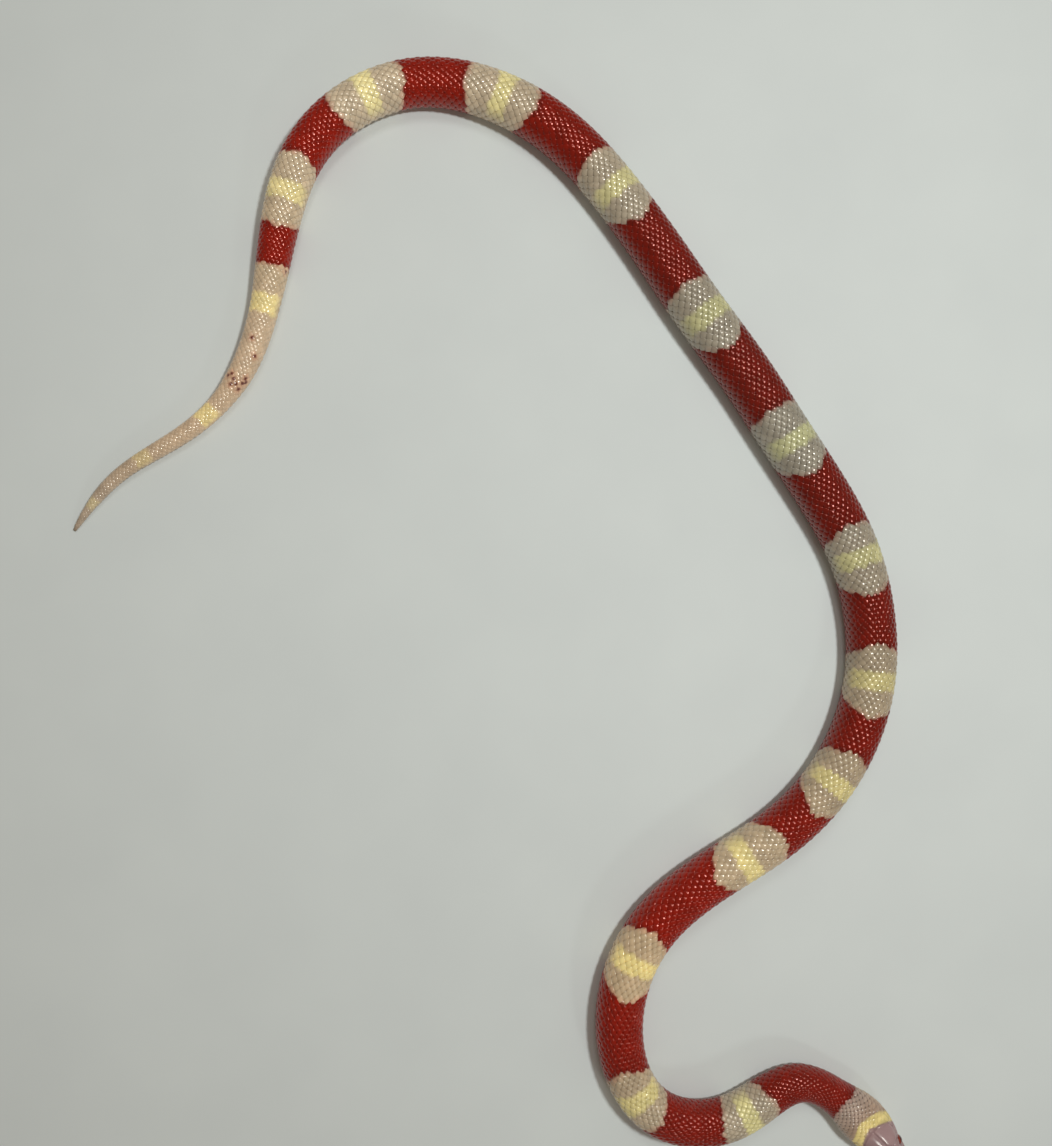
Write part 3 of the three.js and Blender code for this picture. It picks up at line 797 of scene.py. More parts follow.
row_index, column_index = np.meshgrid(np.arange(len(rows) - 1), np.arange(SKIN_AROUND), indexing="ij")
row_index = row_index.ravel()
column_index = column_index.ravel()
next_column = (column_index + 1) % SKIN_AROUND
quads = np.stack(
    [
        row_index * SKIN_AROUND + column_index,
        (row_index + 1) * SKIN_AROUND + column_index,
        (row_index + 1) * SKIN_AROUND + next_column,
        row_index * SKIN_AROUND + next_column,
    ],
    axis=1,
)
columns = np.arange(SKIN_AROUND)
snout_pole = len(rows) * SKIN_AROUND
tail_pole = snout_pole + 1
last_ring = (len(rows) - 1) * SKIN_AROUND
snout_fan = [(snout_pole, c, (c + 1) % SKIN_AROUND) for c in columns]
tail_fan = [(tail_pole, last_ring + (c + 1) % SKIN_AROUND, last_ring + c) for c in columns]
skin = mesh_object("skin", skin_points * MM, [*quads.tolist(), *snout_fan, *tail_fan], soft_skin)

share_step = 2 / SKIN_AROUND
corner_rows = rows[np.stack([row_index, row_index + 1, row_index + 1, row_index], axis=1)]
corner_shares = shares[column_index][:, None] + share_step * np.array([0, 0, 1, 1])
fan_shares = shares[:, None] + share_step * np.array([0.5, 0, 1])
tail_fan_shares = shares[:, None] + share_step * np.array([0.5, 1, 0])
snout_rows = np.tile([-POLE_GAP, 0, 0], (SKIN_AROUND, 1))
tail_rows = np.tile([LENGTH + POLE_GAP, LENGTH, LENGTH], (SKIN_AROUND, 1))
all_rows = np.concatenate([corner_rows.ravel(), snout_rows.ravel(), tail_rows.ravel()])
all_shares = np.concatenate([corner_shares.ravel(), fan_shares.ravel(), tail_fan_shares.ravel()])
face_strips = np.minimum(corner_rows.mean(1) // STRIP_LENGTH, PATTERN_STRIPS - 1)
fan_strips = np.repeat([0, PATTERN_STRIPS - 1], 3 * SKIN_AROUND)
all_strips = np.concatenate([np.repeat(face_strips, 4), fan_strips])
pattern_uv = np.stack([all_rows / LENGTH, (all_shares + 1) / 2], axis=1)
for name, values in (("Pattern", pattern_uv), ("OFBake", fold(all_rows, all_shares, all_strips))):
    store(skin.data, name, values, domain="CORNER", kind="FLOAT2", field="vector")

point_rows = np.concatenate([row_grid.ravel(), [0, LENGTH]])
point_shares = np.concatenate([share_grid.ravel(), [0, 0]])
skin_pigments = markings(point_rows, point_shares)
for pigment, share in skin_pigments.items():
    store(skin.data, pigment, share)
seam = stations(SKIN_BETWEEN, 1, point_rows)
flank = smooth_step(*PALE_FLANK, np.abs(point_shares))
seam_tone = seam + (1 - seam) * np.maximum(skin_pigments["red"], flank)
# The tone takes the painted light and shade of its stretch of the body
store(skin.data, "tone", stations(SHADE_AND_HUE_ALONG, 1, point_rows) * seam_tone)
store(skin.data, "rim", np.zeros(len(point_rows)))
print("skin faces:", len(skin.data.polygons))

# %% [markdown]
# ## The shape of one scale
#
# A dorsal scale of a milk snake is a smooth, keelless lozenge. Its front end is tucked under the
# scales before it and its rear end lies free on the next one. Its back is a low dome, highest on the
# free part, and that dome carries the glint. One shape of a few dozen faces does for all of them,
# because each place stretches it to its own size. It measures 1 from the middle to its tips, and its
# heights are counted in rises of the scale.

# %% Shape of a scale
LOZENGE_POWER = 1.3
SCALE_SIDES = 12
# Rings of a scale, from the outside in: place on the dome, spread, and the level of a sunk one
SCALE_RINGS = ((1.0, 1.04, -0.35), (1.0, 1.0, None), (0.8, 0.8, None), (0.45, 0.45, None))
DOME_TOP = 1.38
DOME_MIDDLE = 0.26
DOME_FALL = 1.92
SKIRT_PATCH = 1.15


def scale_height(x, y):
    """Height over the skin of a scale: a dome that is highest on its free part."""
    return DOME_TOP - DOME_FALL * (x - DOME_MIDDLE) ** 2 - y**2


def shape_object(name, points, flat, rims, faces, smooth):
    """A shape to repeat, with its flat place and its nearness to the rim stored on it."""
    made = mesh_object(name, points, faces, scale_keratin, smooth)
    store(made.data, "flat", flat, kind="FLOAT_VECTOR", field="vector")
    store(made.data, "rim", rims)
    return made


def lozenge():
    """Rings from the sunk rim to the middle of one scale."""
    turn = 2 * math.pi * np.arange(SCALE_SIDES) / SCALE_SIDES
    power = 2 / LOZENGE_POWER
    x = np.sign(np.cos(turn)) * np.abs(np.cos(turn)) ** power
    y = np.sign(np.sin(turn)) * np.abs(np.sin(turn)) ** power
    points = []
    flat = []
    rims = []
    for reach, spread, sunk in SCALE_RINGS:
        z = scale_height(x * reach, y * reach) if sunk is None else np.full(SCALE_SIDES, sunk)
        points.append(np.stack([x * spread, y * spread, z], axis=1))
        flat_spread = SKIRT_PATCH if sunk is not None else spread
        flat.append(np.stack([x * flat_spread, y * flat_spread, 0 * x], axis=1))
        rims.append(np.full(SCALE_SIDES, reach))
    points.append([(0, 0, scale_height(0, 0))])
    flat.append([(0, 0, 0)])
    rims.append([0])
    faces = []
    for ring in range(len(SCALE_RINGS) - 1):
        for side in range(SCALE_SIDES):
            a = ring * SCALE_SIDES + side
            b = ring * SCALE_SIDES + (side + 1) % SCALE_SIDES
            faces.append((a, b, b + SCALE_SIDES, a + SCALE_SIDES))
    inner = (len(SCALE_RINGS) - 1) * SCALE_SIDES
    middle = inner + SCALE_SIDES
    faces += [(inner + side, inner + (side + 1) % SCALE_SIDES, middle) for side in range(SCALE_SIDES)]
    # The sunk skirt is flat, so that it doesn't bend the smooth shading of the dome
    smooth = np.arange(len(faces)) >= SCALE_SIDES
    points = np.vstack(points)
    return shape_object("scale_shape", points, np.vstack(flat), np.concatenate(rims), faces, smooth)


scale_shape = lozenge()
print("faces of one scale:", len(scale_shape.data.polygons))


# %% Shape of a belly plate
# A scute from its front to its sunk rear edge: place and level
SCUTE_PROFILE = ((-1.0, 0.0), (-0.4, 0.3), (0.5, 0.75), (0.92, 0.92), (1.0, 0.75), (1.03, -0.3))
SCUTE_END = (0.93, 1.0)
SCUTE_END_SINK = 0.3
SCUTE_ROUNDING_POWER = 6
SCUTE_RIM = 0.8
SCUTE_RIM_SLOPE = 5


def scute(name, columns, end_round):
    """A broad belly plate: a ramp to the rear whose ends are rounded off and sunk."""
    across = np.linspace(-1, 1, columns)
    points = []
    rims = []
    for x, z in SCUTE_PROFILE:
        bow = 1 - end_round * np.abs(across) ** SCUTE_ROUNDING_POWER
        sink = smooth_step(*SCUTE_END, np.abs(across))
        points.append(np.stack([x * bow, across, z * (1 - sink) - SCUTE_END_SINK * sink], axis=1))
        rims.append(np.full(columns, max(0.0, (abs(x) - SCUTE_RIM) * SCUTE_RIM_SLOPE)))
    points = np.vstack(points)
    faces = []
    for row in range(len(SCUTE_PROFILE) - 1):
        for column in range(columns - 1):
            a = row * columns + column
            faces.append((a, a + columns, a + columns + 1, a + 1))
    flat = points * (1, 1, 0)
    flat[-columns:, 0] = SKIRT_PATCH
    # The sunk rear strip is flat for the same reason as a scale's skirt
    smooth = np.arange(len(faces)) < len(faces) - (columns - 1)
    return shape_object(name, points, flat, np.concatenate(rims), faces, smooth)


belly_shape = scute("belly_scute_shape", 15, 0.25)
tail_shape = scute("tail_scute_shape", 7, 0.5)
print("faces of one belly plate:", len(belly_shape.data.polygons))

# %% [markdown]
# ## Wrapping flat scales round a coiled body
#
# The whole coat is laid out flat first. Geometry Nodes put the shape on each place of the pattern,
# make the copies real, and then carry every point onto the skin: the place on the pattern is looked
# up on the skin's own unwrap, and the height goes along the skin's normal. In this way the scales
# spread on the outside of a bend and crowd on the inside, as a snake's do. The same tree writes the
# small patch of the bake map that belongs to each scale.

# %% Geometry Nodes tree of the coat
BAKE_PATCH = 0.003
PATTERN_END = 0.0001
COAT_SOCKETS = (
    ("Places", "NodeSocketGeometry"),
    ("Shape", "NodeSocketObject"),
    ("Skin", "NodeSocketObject"),
    ("Material", "NodeSocketMaterial"),
    ("Body length", "NodeSocketFloat"),
    ("Pattern half width", "NodeSocketFloat"),
    ("Bake patch", "NodeSocketFloat"),
)


def place_on_pattern(tree, given, parts):
    """Nodes that turn a flat place in metres into a place on the skin's own unwrap."""
    length = {0: parts["X"], 1: given["Body length"]}
    u = add_node(tree, "ShaderNodeMath", length, operation="DIVIDE").outputs[0]
    ends = {"Value": u, "Min": PATTERN_END, "Max": 1 - PATTERN_END}
    inside_u = add_node(tree, "ShaderNodeClamp", ends).outputs[0]
    width = {0: parts["Y"], 1: given["Pattern half width"]}
    turns = add_node(tree, "ShaderNodeMath", width, operation="DIVIDE").outputs[0]
    halved = {0: turns, 1: 0.5, 2: 0.5}
    v = add_node(tree, "ShaderNodeMath", halved, operation="MULTIPLY_ADD").outputs[0]
    inside_v = add_node(tree, "ShaderNodeMath", {0: v}, operation="FRACT").outputs[0]
    return add_node(tree, "ShaderNodeCombineXYZ", {"X": inside_u, "Y": inside_v}).outputs[0]


def coat_tree():
    """The tree that lays a shape on every place and wraps the result round the skin."""
    tree = bpy.data.node_groups.new("Wrapped coat", "GeometryNodeTree")
    sockets = {
        name: tree.interface.new_socket(name=name, in_out="INPUT", socket_type=kind).identifier
        for name, kind in COAT_SOCKETS
    }
    tree.interface.new_socket(name="Coat", in_out="OUTPUT", socket_type="NodeSocketGeometry")
    given = add_node(tree, "NodeGroupInput").outputs
    shape, skin_shape = [
        add_node(tree, "GeometryNodeObjectInfo", {"Object": given[name]}).outputs["Geometry"]
        for name in ("Shape", "Skin")
    ]
    size, pattern, flat, root = [
        add_node(
            tree,
            "GeometryNodeInputNamedAttribute",
            {"Name": name},
            data_type="FLOAT_VECTOR",
        ).outputs["Attribute"]
        for name in ("size", "Pattern", "flat", "root")
    ]
    position = add_node(tree, "GeometryNodeInputPosition").outputs[0]
    normal = add_node(tree, "GeometryNodeInputNormal").outputs[0]

    # The flat coat: one copy of the shape on each place, made real
    on_places = {"Points": given["Places"], "Instance": shape, "Scale": size}
    copies = add_node(tree, "GeometryNodeInstanceOnPoints", on_places).outputs["Instances"]
    flat_coat = add_node(tree, "GeometryNodeRealizeInstances", {"Geometry": copies}).outputs[0]
    parts = add_node(tree, "ShaderNodeSeparateXYZ", {0: position}).outputs
    place = place_on_pattern(tree, given, parts)

    # Where each point lands: the skin's point at that place, and the height along its normal
    skin_point, skin_normal = [
        add_node(
            tree,
            "GeometryNodeSampleUVSurface",
            {"Mesh": skin_shape, "Value": field, "UV Map": pattern, "Sample UV": place},
            data_type="FLOAT_VECTOR",
        ).outputs["Value"]
        for field in (position, normal)
    ]
    unit = add_node(tree, "ShaderNodeVectorMath", {0: skin_normal}, operation="NORMALIZE").outputs[0]
    height = {0: unit, 3: parts["Z"]}
    lifted = add_node(tree, "ShaderNodeVectorMath", height, operation="SCALE").outputs[0]
    landing = {0: skin_point, 1: lifted}
    landed = add_node(tree, "ShaderNodeVectorMath", landing, operation="ADD").outputs[0]

    # The flat place is kept for the colours, then the coat is wrapped
    kept = {"Geometry": flat_coat, "Name": "laid", "Value": position}
    laid = add_node(tree, "GeometryNodeStoreNamedAttribute", kept, data_type="FLOAT_VECTOR").outputs[0]
    moved = {"Geometry": laid, "Position": landed}
    wrapped = add_node(tree, "GeometryNodeSetPosition", moved).outputs[0]

    # The small patch of the bake map that belongs to each scale
    half = {0: given["Bake patch"], 1: 0.5}
    half_patch = add_node(tree, "ShaderNodeMath", half, operation="MULTIPLY").outputs[0]
    shrunk = {0: flat, 3: half_patch}
    patch = add_node(tree, "ShaderNodeVectorMath", shrunk, operation="SCALE").outputs[0]
    bake_place = add_node(tree, "ShaderNodeVectorMath", {0: root, 1: patch}, operation="ADD").outputs[0]
    baked = add_node(
        tree,
        "GeometryNodeStoreNamedAttribute",
        {"Geometry": wrapped, "Name": "OFBake", "Value": bake_place},
        data_type="FLOAT2",
        domain="CORNER",
    )
    dressed = {"Geometry": baked.outputs[0], "Material": given["Material"]}
    finished = add_node(tree, "GeometryNodeSetMaterial", dressed)
    add_node(tree, "NodeGroupOutput", {"Coat": finished.outputs[0]})
    return tree, sockets


coat_nodes, coat_sockets = coat_tree()
print("nodes in the coat's tree:", len(coat_nodes.nodes))

# %% Laying a coat on its places
OWN_COLOUR_SPREAD = 0.55  # 0 gives each scale one colour, 1 lets the markings cross it unchanged
RIM_LOSS = 0.85  # the dark rim of a scale hardly shows on red and on the tail
TONE_SPREAD = 0.08
RAGGEDNESS = 0.26


def read(mesh, name, field="value", width=1):
    """The values of a stored attribute."""
    values = np.empty(width * len(mesh.vertices), np.float32)
    mesh.attributes[name].data.foreach_get(field, values)
    return values if width == 1 else values.reshape(-1, width)


def draw_numbers(seed):
    """Seeded draws, so that the coat is the same at every run."""
    return np.random.default_rng(seed)


def lay_coat(name, shape, material, places, seed):
    """One plain mesh of wrapped scales. places holds a row for each scale, in mm: distance, girth
    share, half length, half width and rise."""
    draws = draw_numbers(seed)
    distance = places[:, 0]
    share = places[:, 1]
    mesh = bpy.data.meshes.new(name)
    points = np.column_stack([distance * MM, share * HALF_GIRTH * MM, 0 * distance])
    mesh.from_pydata(points.tolist(), [], [])
    pattern_stretch = HALF_GIRTH / half_girth(distance)
    pattern_size = np.column_stack([places[:, 2], places[:, 3] * pattern_stretch, places[:, 4]]) * MM
    store(mesh, "size", pattern_size, kind="FLOAT_VECTOR", field="vector")
    store(mesh, "centre", points, kind="FLOAT_VECTOR", field="vector")
    root = fold(distance, turned_in(share))
    store(mesh, "root", np.column_stack([root, 0 * distance]), kind="FLOAT_VECTOR", field="vector")
    store(mesh, "ragged", draws.uniform(-RAGGEDNESS, RAGGEDNESS, len(distance)))
    store(mesh, "tone", 1 + draws.uniform(-TONE_SPREAD, TONE_SPREAD, len(distance)))
    seeds = bpy.data.objects.new(name + "_places", mesh)
    bpy.context.scene.collection.objects.link(seeds)
    wrap = seeds.modifiers.new("wrap", "NODES")
    wrap.node_group = coat_nodes
    settings = {
        "Shape": shape,
        "Skin": skin,
        "Material": material,
        "Body length": LENGTH * MM,
        "Pattern half width": HALF_GIRTH * MM,
        "Bake patch": BAKE_PATCH,
    }
    for socket, value in settings.items():
        wrap[coat_sockets[socket]] = value
    graph = bpy.context.evaluated_depsgraph_get()
    wrapped = seeds.evaluated_get(graph)
    coat = bpy.data.meshes.new_from_object(wrapped, preserve_all_data_layers=True, depsgraph=graph)
    coat.name = name
    laid = read(coat, "laid", "vector", 3)
    centre = read(coat, "centre", "vector", 3)
    seen = (centre + OWN_COLOUR_SPREAD * (laid - centre)) / MM
    pigments = markings(seen[:, 0], seen[:, 1] / HALF_GIRTH, read(coat, "ragged"))
    pigments["fleck"] = fleck(laid[:, 0] / MM, laid[:, 1] / MM / HALF_GIRTH)
    for pigment, amount in pigments.items():
        store(coat, pigment, amount)
    rim = read(coat, "rim") * (1 - RIM_LOSS * np.maximum(pigments["red"], pigments["tail"]))
    # Besides its own draw, each scale's tone takes the painted light and shade of its stretch
    tone = read(coat, "tone") * stations(SHADE_AND_HUE_ALONG, 1, seen[:, 0])
    coat.attributes["rim"].data.foreach_set("value", rim)
    coat.attributes["tone"].data.foreach_set("value", tone)
    for spare in ("size", "root", "flat", "laid", "centre", "ragged"):
        if spare in coat.attributes:
            coat.attributes.remove(coat.attributes[spare])
    bpy.data.objects.remove(seeds)
    made = bpy.data.objects.new(name, coat)
    bpy.context.scene.collection.objects.link(made)
    print(name, "scales:", len(distance), "faces:", len(coat.polygons))
    return made


# %% [markdown]
# ## Rows of scales
#
# A milk snake has about 23 rows of scales round the middle, fewer on the neck and ever fewer on the
# tail. Rows stand half a step behind one another, and on the flanks they grow wider. The rows keep
# their width while the body thins, so the lowest ones run out under the belly one after the other,
# much as on the real animal. One cross row belongs to one belly plate, of which there are over 200.

# %% Places of the back's scales
# Each row holds the distance behind the snout and a value. First the step from one cross row to the
# next, in mm
PITCH = [
    (8, 1.0), (20, 1.1), (33, 1.35), (50, 1.68), (80, 1.85), (110, 1.9), (180, 1.82), (250, 1.83),
    (300, 1.78), (330, 1.75), (355, 1.67), (378, 1.43), (400, 1.27), (420, 1.1), (440, 0.8), (450, 0.6),
]
# Share of its place that a scale covers: on the nape the skin shows between them
COVER = [(8, 1.06), (14, 1.03), (15.5, 0.92), (19, 0.9), (22, 1.0), (450, 1.0)]
# Rows on each side of the one along the spine
ROWS_EACH_SIDE = [
    (8, 9.5), (20, 10.5), (45, 11.5), (260, 11.5), (310, 10.5), (345, 10), (372, 9.5), (386, 8.5),
    (400, 7), (415, 5.4), (430, 4.3), (440, 3.5), (450, 2.6),
]
# Girth share at which the back's scales end and the belly plates begin
BELLY_EDGE = [(8, 0.7), (20, 0.72), (45, 0.74), (378, 0.74), (390, 0.77), (450, 0.72)]
# Where the scales begin behind the head, by girth share
NAPE_EDGE = [(0, 11.9), (0.12, 11.7), (0.25, 11.2), (0.4, 11.6), (0.5, 11.8), (0.7, 11.8), (1, 12.1)]
LAST_SCALE = 448.6
# A row ends where less than this part of it has room
ROOM_NEEDED = 0.25
ROW_GROWTH = 0.31
SCALE_OVERLAP = 1.17
SCALE_WIDTH = 1.05
# Rise of a scale by its half length: every dome has the same slopes, and glints alike
SCALE_RISE = 0.185

COAT_START = 8
FINE_STEPS = 6000
fine_distances = np.linspace(COAT_START, LENGTH, FINE_STEPS)
fine_pitch = stations(PITCH, 1, fine_distances)
cross_rows = np.concatenate([[0], np.cumsum(np.diff(fine_distances) / fine_pitch[:-1])])
CROSS_ROWS = int(cross_rows[-1])


def row_share(row, distance):
    """Girth share of a row counted from the spine, whose width grows towards the belly."""
    x = row / stations(ROWS_EACH_SIDE, 1, distance)
    return stations(BELLY_EDGE, 1, distance) * x * (1 - ROW_GROWTH + ROW_GROWTH * x**2)


def back_places():
    """Distances, girth shares and sizes of all scales of the back and sides."""
    found = []
    rows_most = int(max(count for _, count in ROWS_EACH_SIDE))
    for row in range(-rows_most, rows_most + 1):
        index = np.arange(1, CROSS_ROWS) + 0.5 * (row % 2)
        distance = np.interp(index, cross_rows, fine_distances)
        share = np.sign(row) * row_share(abs(row), distance)
        row_span = row_share(abs(row) + 0.5, distance) - row_share(abs(row) - 0.5, distance)
        row_width = row_span * half_girth(distance)
        room = stations(ROWS_EACH_SIDE, 1, distance) - abs(row)
        behind_head = distance > np.interp(np.abs(share), *np.array(NAPE_EDGE).T)
        keep = (room > ROOM_NEEDED) & behind_head & (distance < LAST_SCALE)
        cover = stations(COVER, 1, distance)
        half_length = stations(PITCH, 1, distance) / 2 * SCALE_OVERLAP * cover
        rise = SCALE_RISE * half_length
        half_width = row_width * SCALE_WIDTH * cover
        found.append(np.column_stack([distance, share, half_length, half_width, rise])[keep])
    return np.vstack(found)


back = back_places()
print("scales of the back:", len(back))

# %% The back's scales, in lengths that each stay a moderate mesh
COAT_LENGTHS = {
    "scales_neck": (0, 105),
    "scales_fore": (105, 205),
    "scales_rear": (205, 300),
    "scales_hind": (300, VENT),
    "scales_tail": (VENT, 460),
}
BACK_SEED = 100
coat_pieces = {}
for number, (name, (start, end)) in enumerate(COAT_LENGTHS.items()):
    here = back[(back[:, 0] >= start) & (back[:, 0] < end)]
    coat_pieces[name] = lay_coat(name, scale_shape, scale_keratin, here, BACK_SEED + number)

# %% [markdown]
# ## Belly plates
#
# Under the body one broad plate goes with each cross row of scales, and each lies over the next like
# roof tiles laid backwards. The one at the vent is larger, and behind it the plates are in pairs.
# The same tree lays them, from a broader shape.

# %% Places of the belly's plates
THROAT_END = 14
LAST_PLATE = VENT + 1
BELLY_RISE = 0.15
PLATE_OVERLAP = 1.14
# How far the plates reach under the lowest scales, as a girth share
PLATE_LAP = 0.02
VENT_PLATE = 1.35
# The pairs under the tail: how far they reach under the lowest scales, how much they overlap in the
# middle, and between which distances they lie
TAIL_LAP = 0.03
TAIL_PAIR_LAP = 1.04
TAIL_PLATES = (VENT + 1.6, 448)
# Where the half girth is less than this, in mm, they rise less
THIN_HALF_GIRTH = 9


def belly_places():
    """One plate for each cross row between the throat and the vent."""
    distance = np.interp(np.arange(1, CROSS_ROWS), cross_rows, fine_distances)
    distance = distance[(distance > THROAT_END) & (distance < LAST_PLATE)]
    half_width = (1 - stations(BELLY_EDGE, 1, distance) + PLATE_LAP) * half_girth(distance)
    half_length = stations(PITCH, 1, distance) / 2 * PLATE_OVERLAP
    half_length[-1] *= VENT_PLATE
    rise = np.full(len(distance), BELLY_RISE)
    return np.column_stack([distance, np.ones(len(distance)), half_length, half_width, rise])


def tail_places():
    """Pairs of plates under the tail, the right one half a step behind the left one."""
    found = []
    for side in (-1, 1):
        index = np.arange(1, CROSS_ROWS) + 0.25 * (side + 1)
        distance = np.interp(index, cross_rows, fine_distances)
        distance = distance[(distance > TAIL_PLATES[0]) & (distance < TAIL_PLATES[1])]
        half_share = (1 - stations(BELLY_EDGE, 1, distance) + TAIL_LAP) / 2
        half_length = stations(PITCH, 1, distance) / 2 * PLATE_OVERLAP
        half_width = half_share * half_girth(distance) * TAIL_PAIR_LAP
        rise = BELLY_RISE * np.minimum(1, half_girth(distance) / THIN_HALF_GIRTH)
        share = side * (1 - half_share)
        found.append(np.column_stack([distance, share, half_length, half_width, rise]))
    return np.vstack(found)


print("belly plates:", len(belly_places()), "plates under the tail:", len(tail_places()))


# %% Small scales of the throat, and the whole underside laid
BELLY_SEED = 201
# Rows on each side of the throat's middle, and the first and last place, slant and pitch of a row
GULAR_ROWS = 5
GULAR_START = 9.5
GULAR_END = THROAT_END + 0.3
GULAR_SLANT = 0.25
GULAR_PITCH = 1.25
GULAR_STAGGER = 0.62
GULAR_SHARE = 0.062
GULAR_HALF_LENGTH = 0.78
GULAR_LAP = 1.1
GULAR_RISE = 0.13


def throat_places():
    """Small scales of the throat, between the chin shields and the first belly plate."""
    found = []
    for row in range(-GULAR_ROWS, GULAR_ROWS + 1):
        first = GULAR_START + GULAR_SLANT * abs(row)
        distance = np.arange(first, GULAR_END, GULAR_PITCH) + GULAR_STAGGER * (row % 2)
        share = np.full(len(distance), 1 + row * GULAR_SHARE)
        half_length = np.full(len(distance), GULAR_HALF_LENGTH)
        half_width = GULAR_SHARE * half_girth(distance) * GULAR_LAP
        rise = np.full(len(distance), GULAR_RISE)
        found.append(np.column_stack([distance, share, half_length, half_width, rise]))
    return np.vstack(found)


UNDERSIDE = {
    "belly_scutes": (belly_shape, belly_places()),
    "tail_scutes": (tail_shape, tail_places()),
    "throat_scales": (scale_shape, throat_places()),
}
for number, (name, (shape, places)) in enumerate(UNDERSIDE.items()):
    coat_pieces[name] = lay_coat(name, shape, scale_keratin, places, BELLY_SEED + number)
for helper in (scale_shape, belly_shape, tail_shape):
    bpy.data.objects.remove(helper)

# %% [markdown]
# ## Head shields
#
# A milk snake's head carries large, flat shields in a fixed order: over the crown, round the eye,
# along both lips and under the chin. Each is an outline drawn on the head as it is seen from above,
# from the side, from the front or from below. The outline is filled with a fine net, and the net is
# thrown onto the skin along the direction of that view, so a shield follows the head's form. Its rim
# falls into the seam and its middle is almost flat.

# %% Where the ray of a view meets the head
HEAD_NET_END = HEAD_END + 4
# Where the rays of the views start, in mm from the spine's line on the floor
ABOVE = 20
BELOW = -5
AHEAD = 8
BESIDE = 15
NEAREST = 1e-4

head_rows = int(np.searchsorted(rows, HEAD_NET_END))
head_count = head_rows * SKIN_AROUND
head_quads = quads[quads.max(1) < head_count]
head_faces = [*head_quads.tolist(), *[(snout_pole, c, (c + 1) % SKIN_AROUND) for c in columns]]
skin_normals = np.zeros(len(skin.data.vertices) * 3, np.float32)
skin.data.vertex_normals.foreach_get("vector", skin_normals)
skin_normals = skin_normals.reshape(-1, 3)
head_tree = BVHTree.FromPolygons([Vector(p) for p in skin_points], head_faces)


def thrown(start, direction):
    """Where a ray meets the head: point, smooth normal, distance behind the snout and girth share."""
    hit, _, face, _ = head_tree.ray_cast(Vector(start), Vector(direction))
    if hit is None:
        hit, _, face, _ = head_tree.find_nearest(Vector(start))
    corners = np.array(head_faces[face])
    near = 1 / (NEAREST + np.linalg.norm(skin_points[corners] - np.array(hit), axis=1))
    near /= near.sum()
    normal = near @ skin_normals[corners]
    sides = point_shares[corners]
    turned = sides - sides[0]
    sides = np.where(turned > 1, sides - 2, np.where(turned < -1, sides + 2, sides))
    return np.array(hit), normal / np.linalg.norm(normal), near @ point_rows[corners], near @ sides


def view_ray(view, a, b):
    """Start and direction of the ray through the point (a, b) of an outline seen in a view."""
    distance = 0.0 if view == "front" else a
    place, along, right = (value[0] for value in lie(np.array([max(distance, 0.0)])))
    place = place + along * min(distance, 0)
    if view == "crown":
        return (*(place + right * b), ABOVE), (0, 0, -1)
    if view == "throat":
        return (*(place + right * b), BELOW), (0, 0, 1)
    if view == "front":
        return (*(place - along * AHEAD + right * a), b), (*along, 0)
    side = 1 if view == "right" else -1
    return (*(place + right * side * BESIDE), b), (*(-right * side), 0)


print("head net faces:", len(head_faces))
crown_hit = thrown(*view_ray("crown", EYE_AT, 0.0))[0]
print("height of the crown between the eyes in mm:", round(float(crown_hit[2]), 1))


# %% Outlines filled with a flat net
SEAM = 0.07
SHIELD_NET = 0.3
SHIELD_RISE = 0.13
# Rings of a shield's edge: how far inside its outline, and how high over the skin
SHIELD_RINGS = ((0.0, -0.07), (0.035, 0.035), (0.1, 0.1))
# How far from its edge a shield's net begins, and how wide its rounded shoulder is
SHIELD_NET_GAP = 0.12
SHIELD_SHOULDER = 0.6
CORNER_CUT = 0.18
CORNER_CUT_MOST = 0.3
NO_LENGTH = 1e-6
FACES_INSIDE = 1


def rounded(outline, spacing):
    """An outline with its corners cut and its edges divided."""
    cut = []
    for here, after in zip(outline, np.roll(outline, -1, axis=0)):
        length = np.linalg.norm(after - here)
        share = min(CORNER_CUT / max(length, NO_LENGTH), CORNER_CUT_MOST)
        cut += [here + (after - here) * share, after - (after - here) * share]
    points = []
    for here, after in zip(cut, [*cut[1:], cut[0]]):
        pieces = max(1, math.ceil(np.linalg.norm(after - here) / spacing))
        points += [here + (after - here) * i / pieces for i in range(pieces)]
    return np.array(points)


def inset(outline, amount):
    """An outline that runs anticlockwise, moved inwards by an amount."""
    after = np.roll(outline, -1, axis=0) - outline
    after /= np.linalg.norm(after, axis=1)[:, None]
    inward = np.stack([-after[:, 1], after[:, 0]], axis=1)
    meet = inward + np.roll(inward, 1, axis=0)
    meet /= np.linalg.norm(meet, axis=1)[:, None]
    return outline + meet * amount


def edge_distance(points, outline):
    """Distance of each point from the nearest edge of an outline."""
    start = outline[None]
    edge = (np.roll(outline, -1, axis=0) - outline)[None]
    share = np.clip(((points[:, None] - start) * edge).sum(2) / (edge**2).sum(2), 0, 1)
    return np.linalg.norm(points[:, None] - start - share[:, :, None] * edge, axis=2).min(1)


def inside(points, outline):
    """Whether each point lies inside an outline, by counting the edges that a ray crosses."""
    x, y = points[:, 0, None], points[:, 1, None]
    x1, y1 = outline[None, :, 0], outline[None, :, 1]
    x2, y2 = np.roll(x1, -1, axis=1), np.roll(y1, -1, axis=1)
    crosses = (y1 > y) != (y2 > y)
    with np.errstate(divide="ignore", invalid="ignore"):
        at = (x2 - x1) * (y - y1) / (y2 - y1) + x1
    return (crosses & (x < at)).sum(1) % 2 == 1


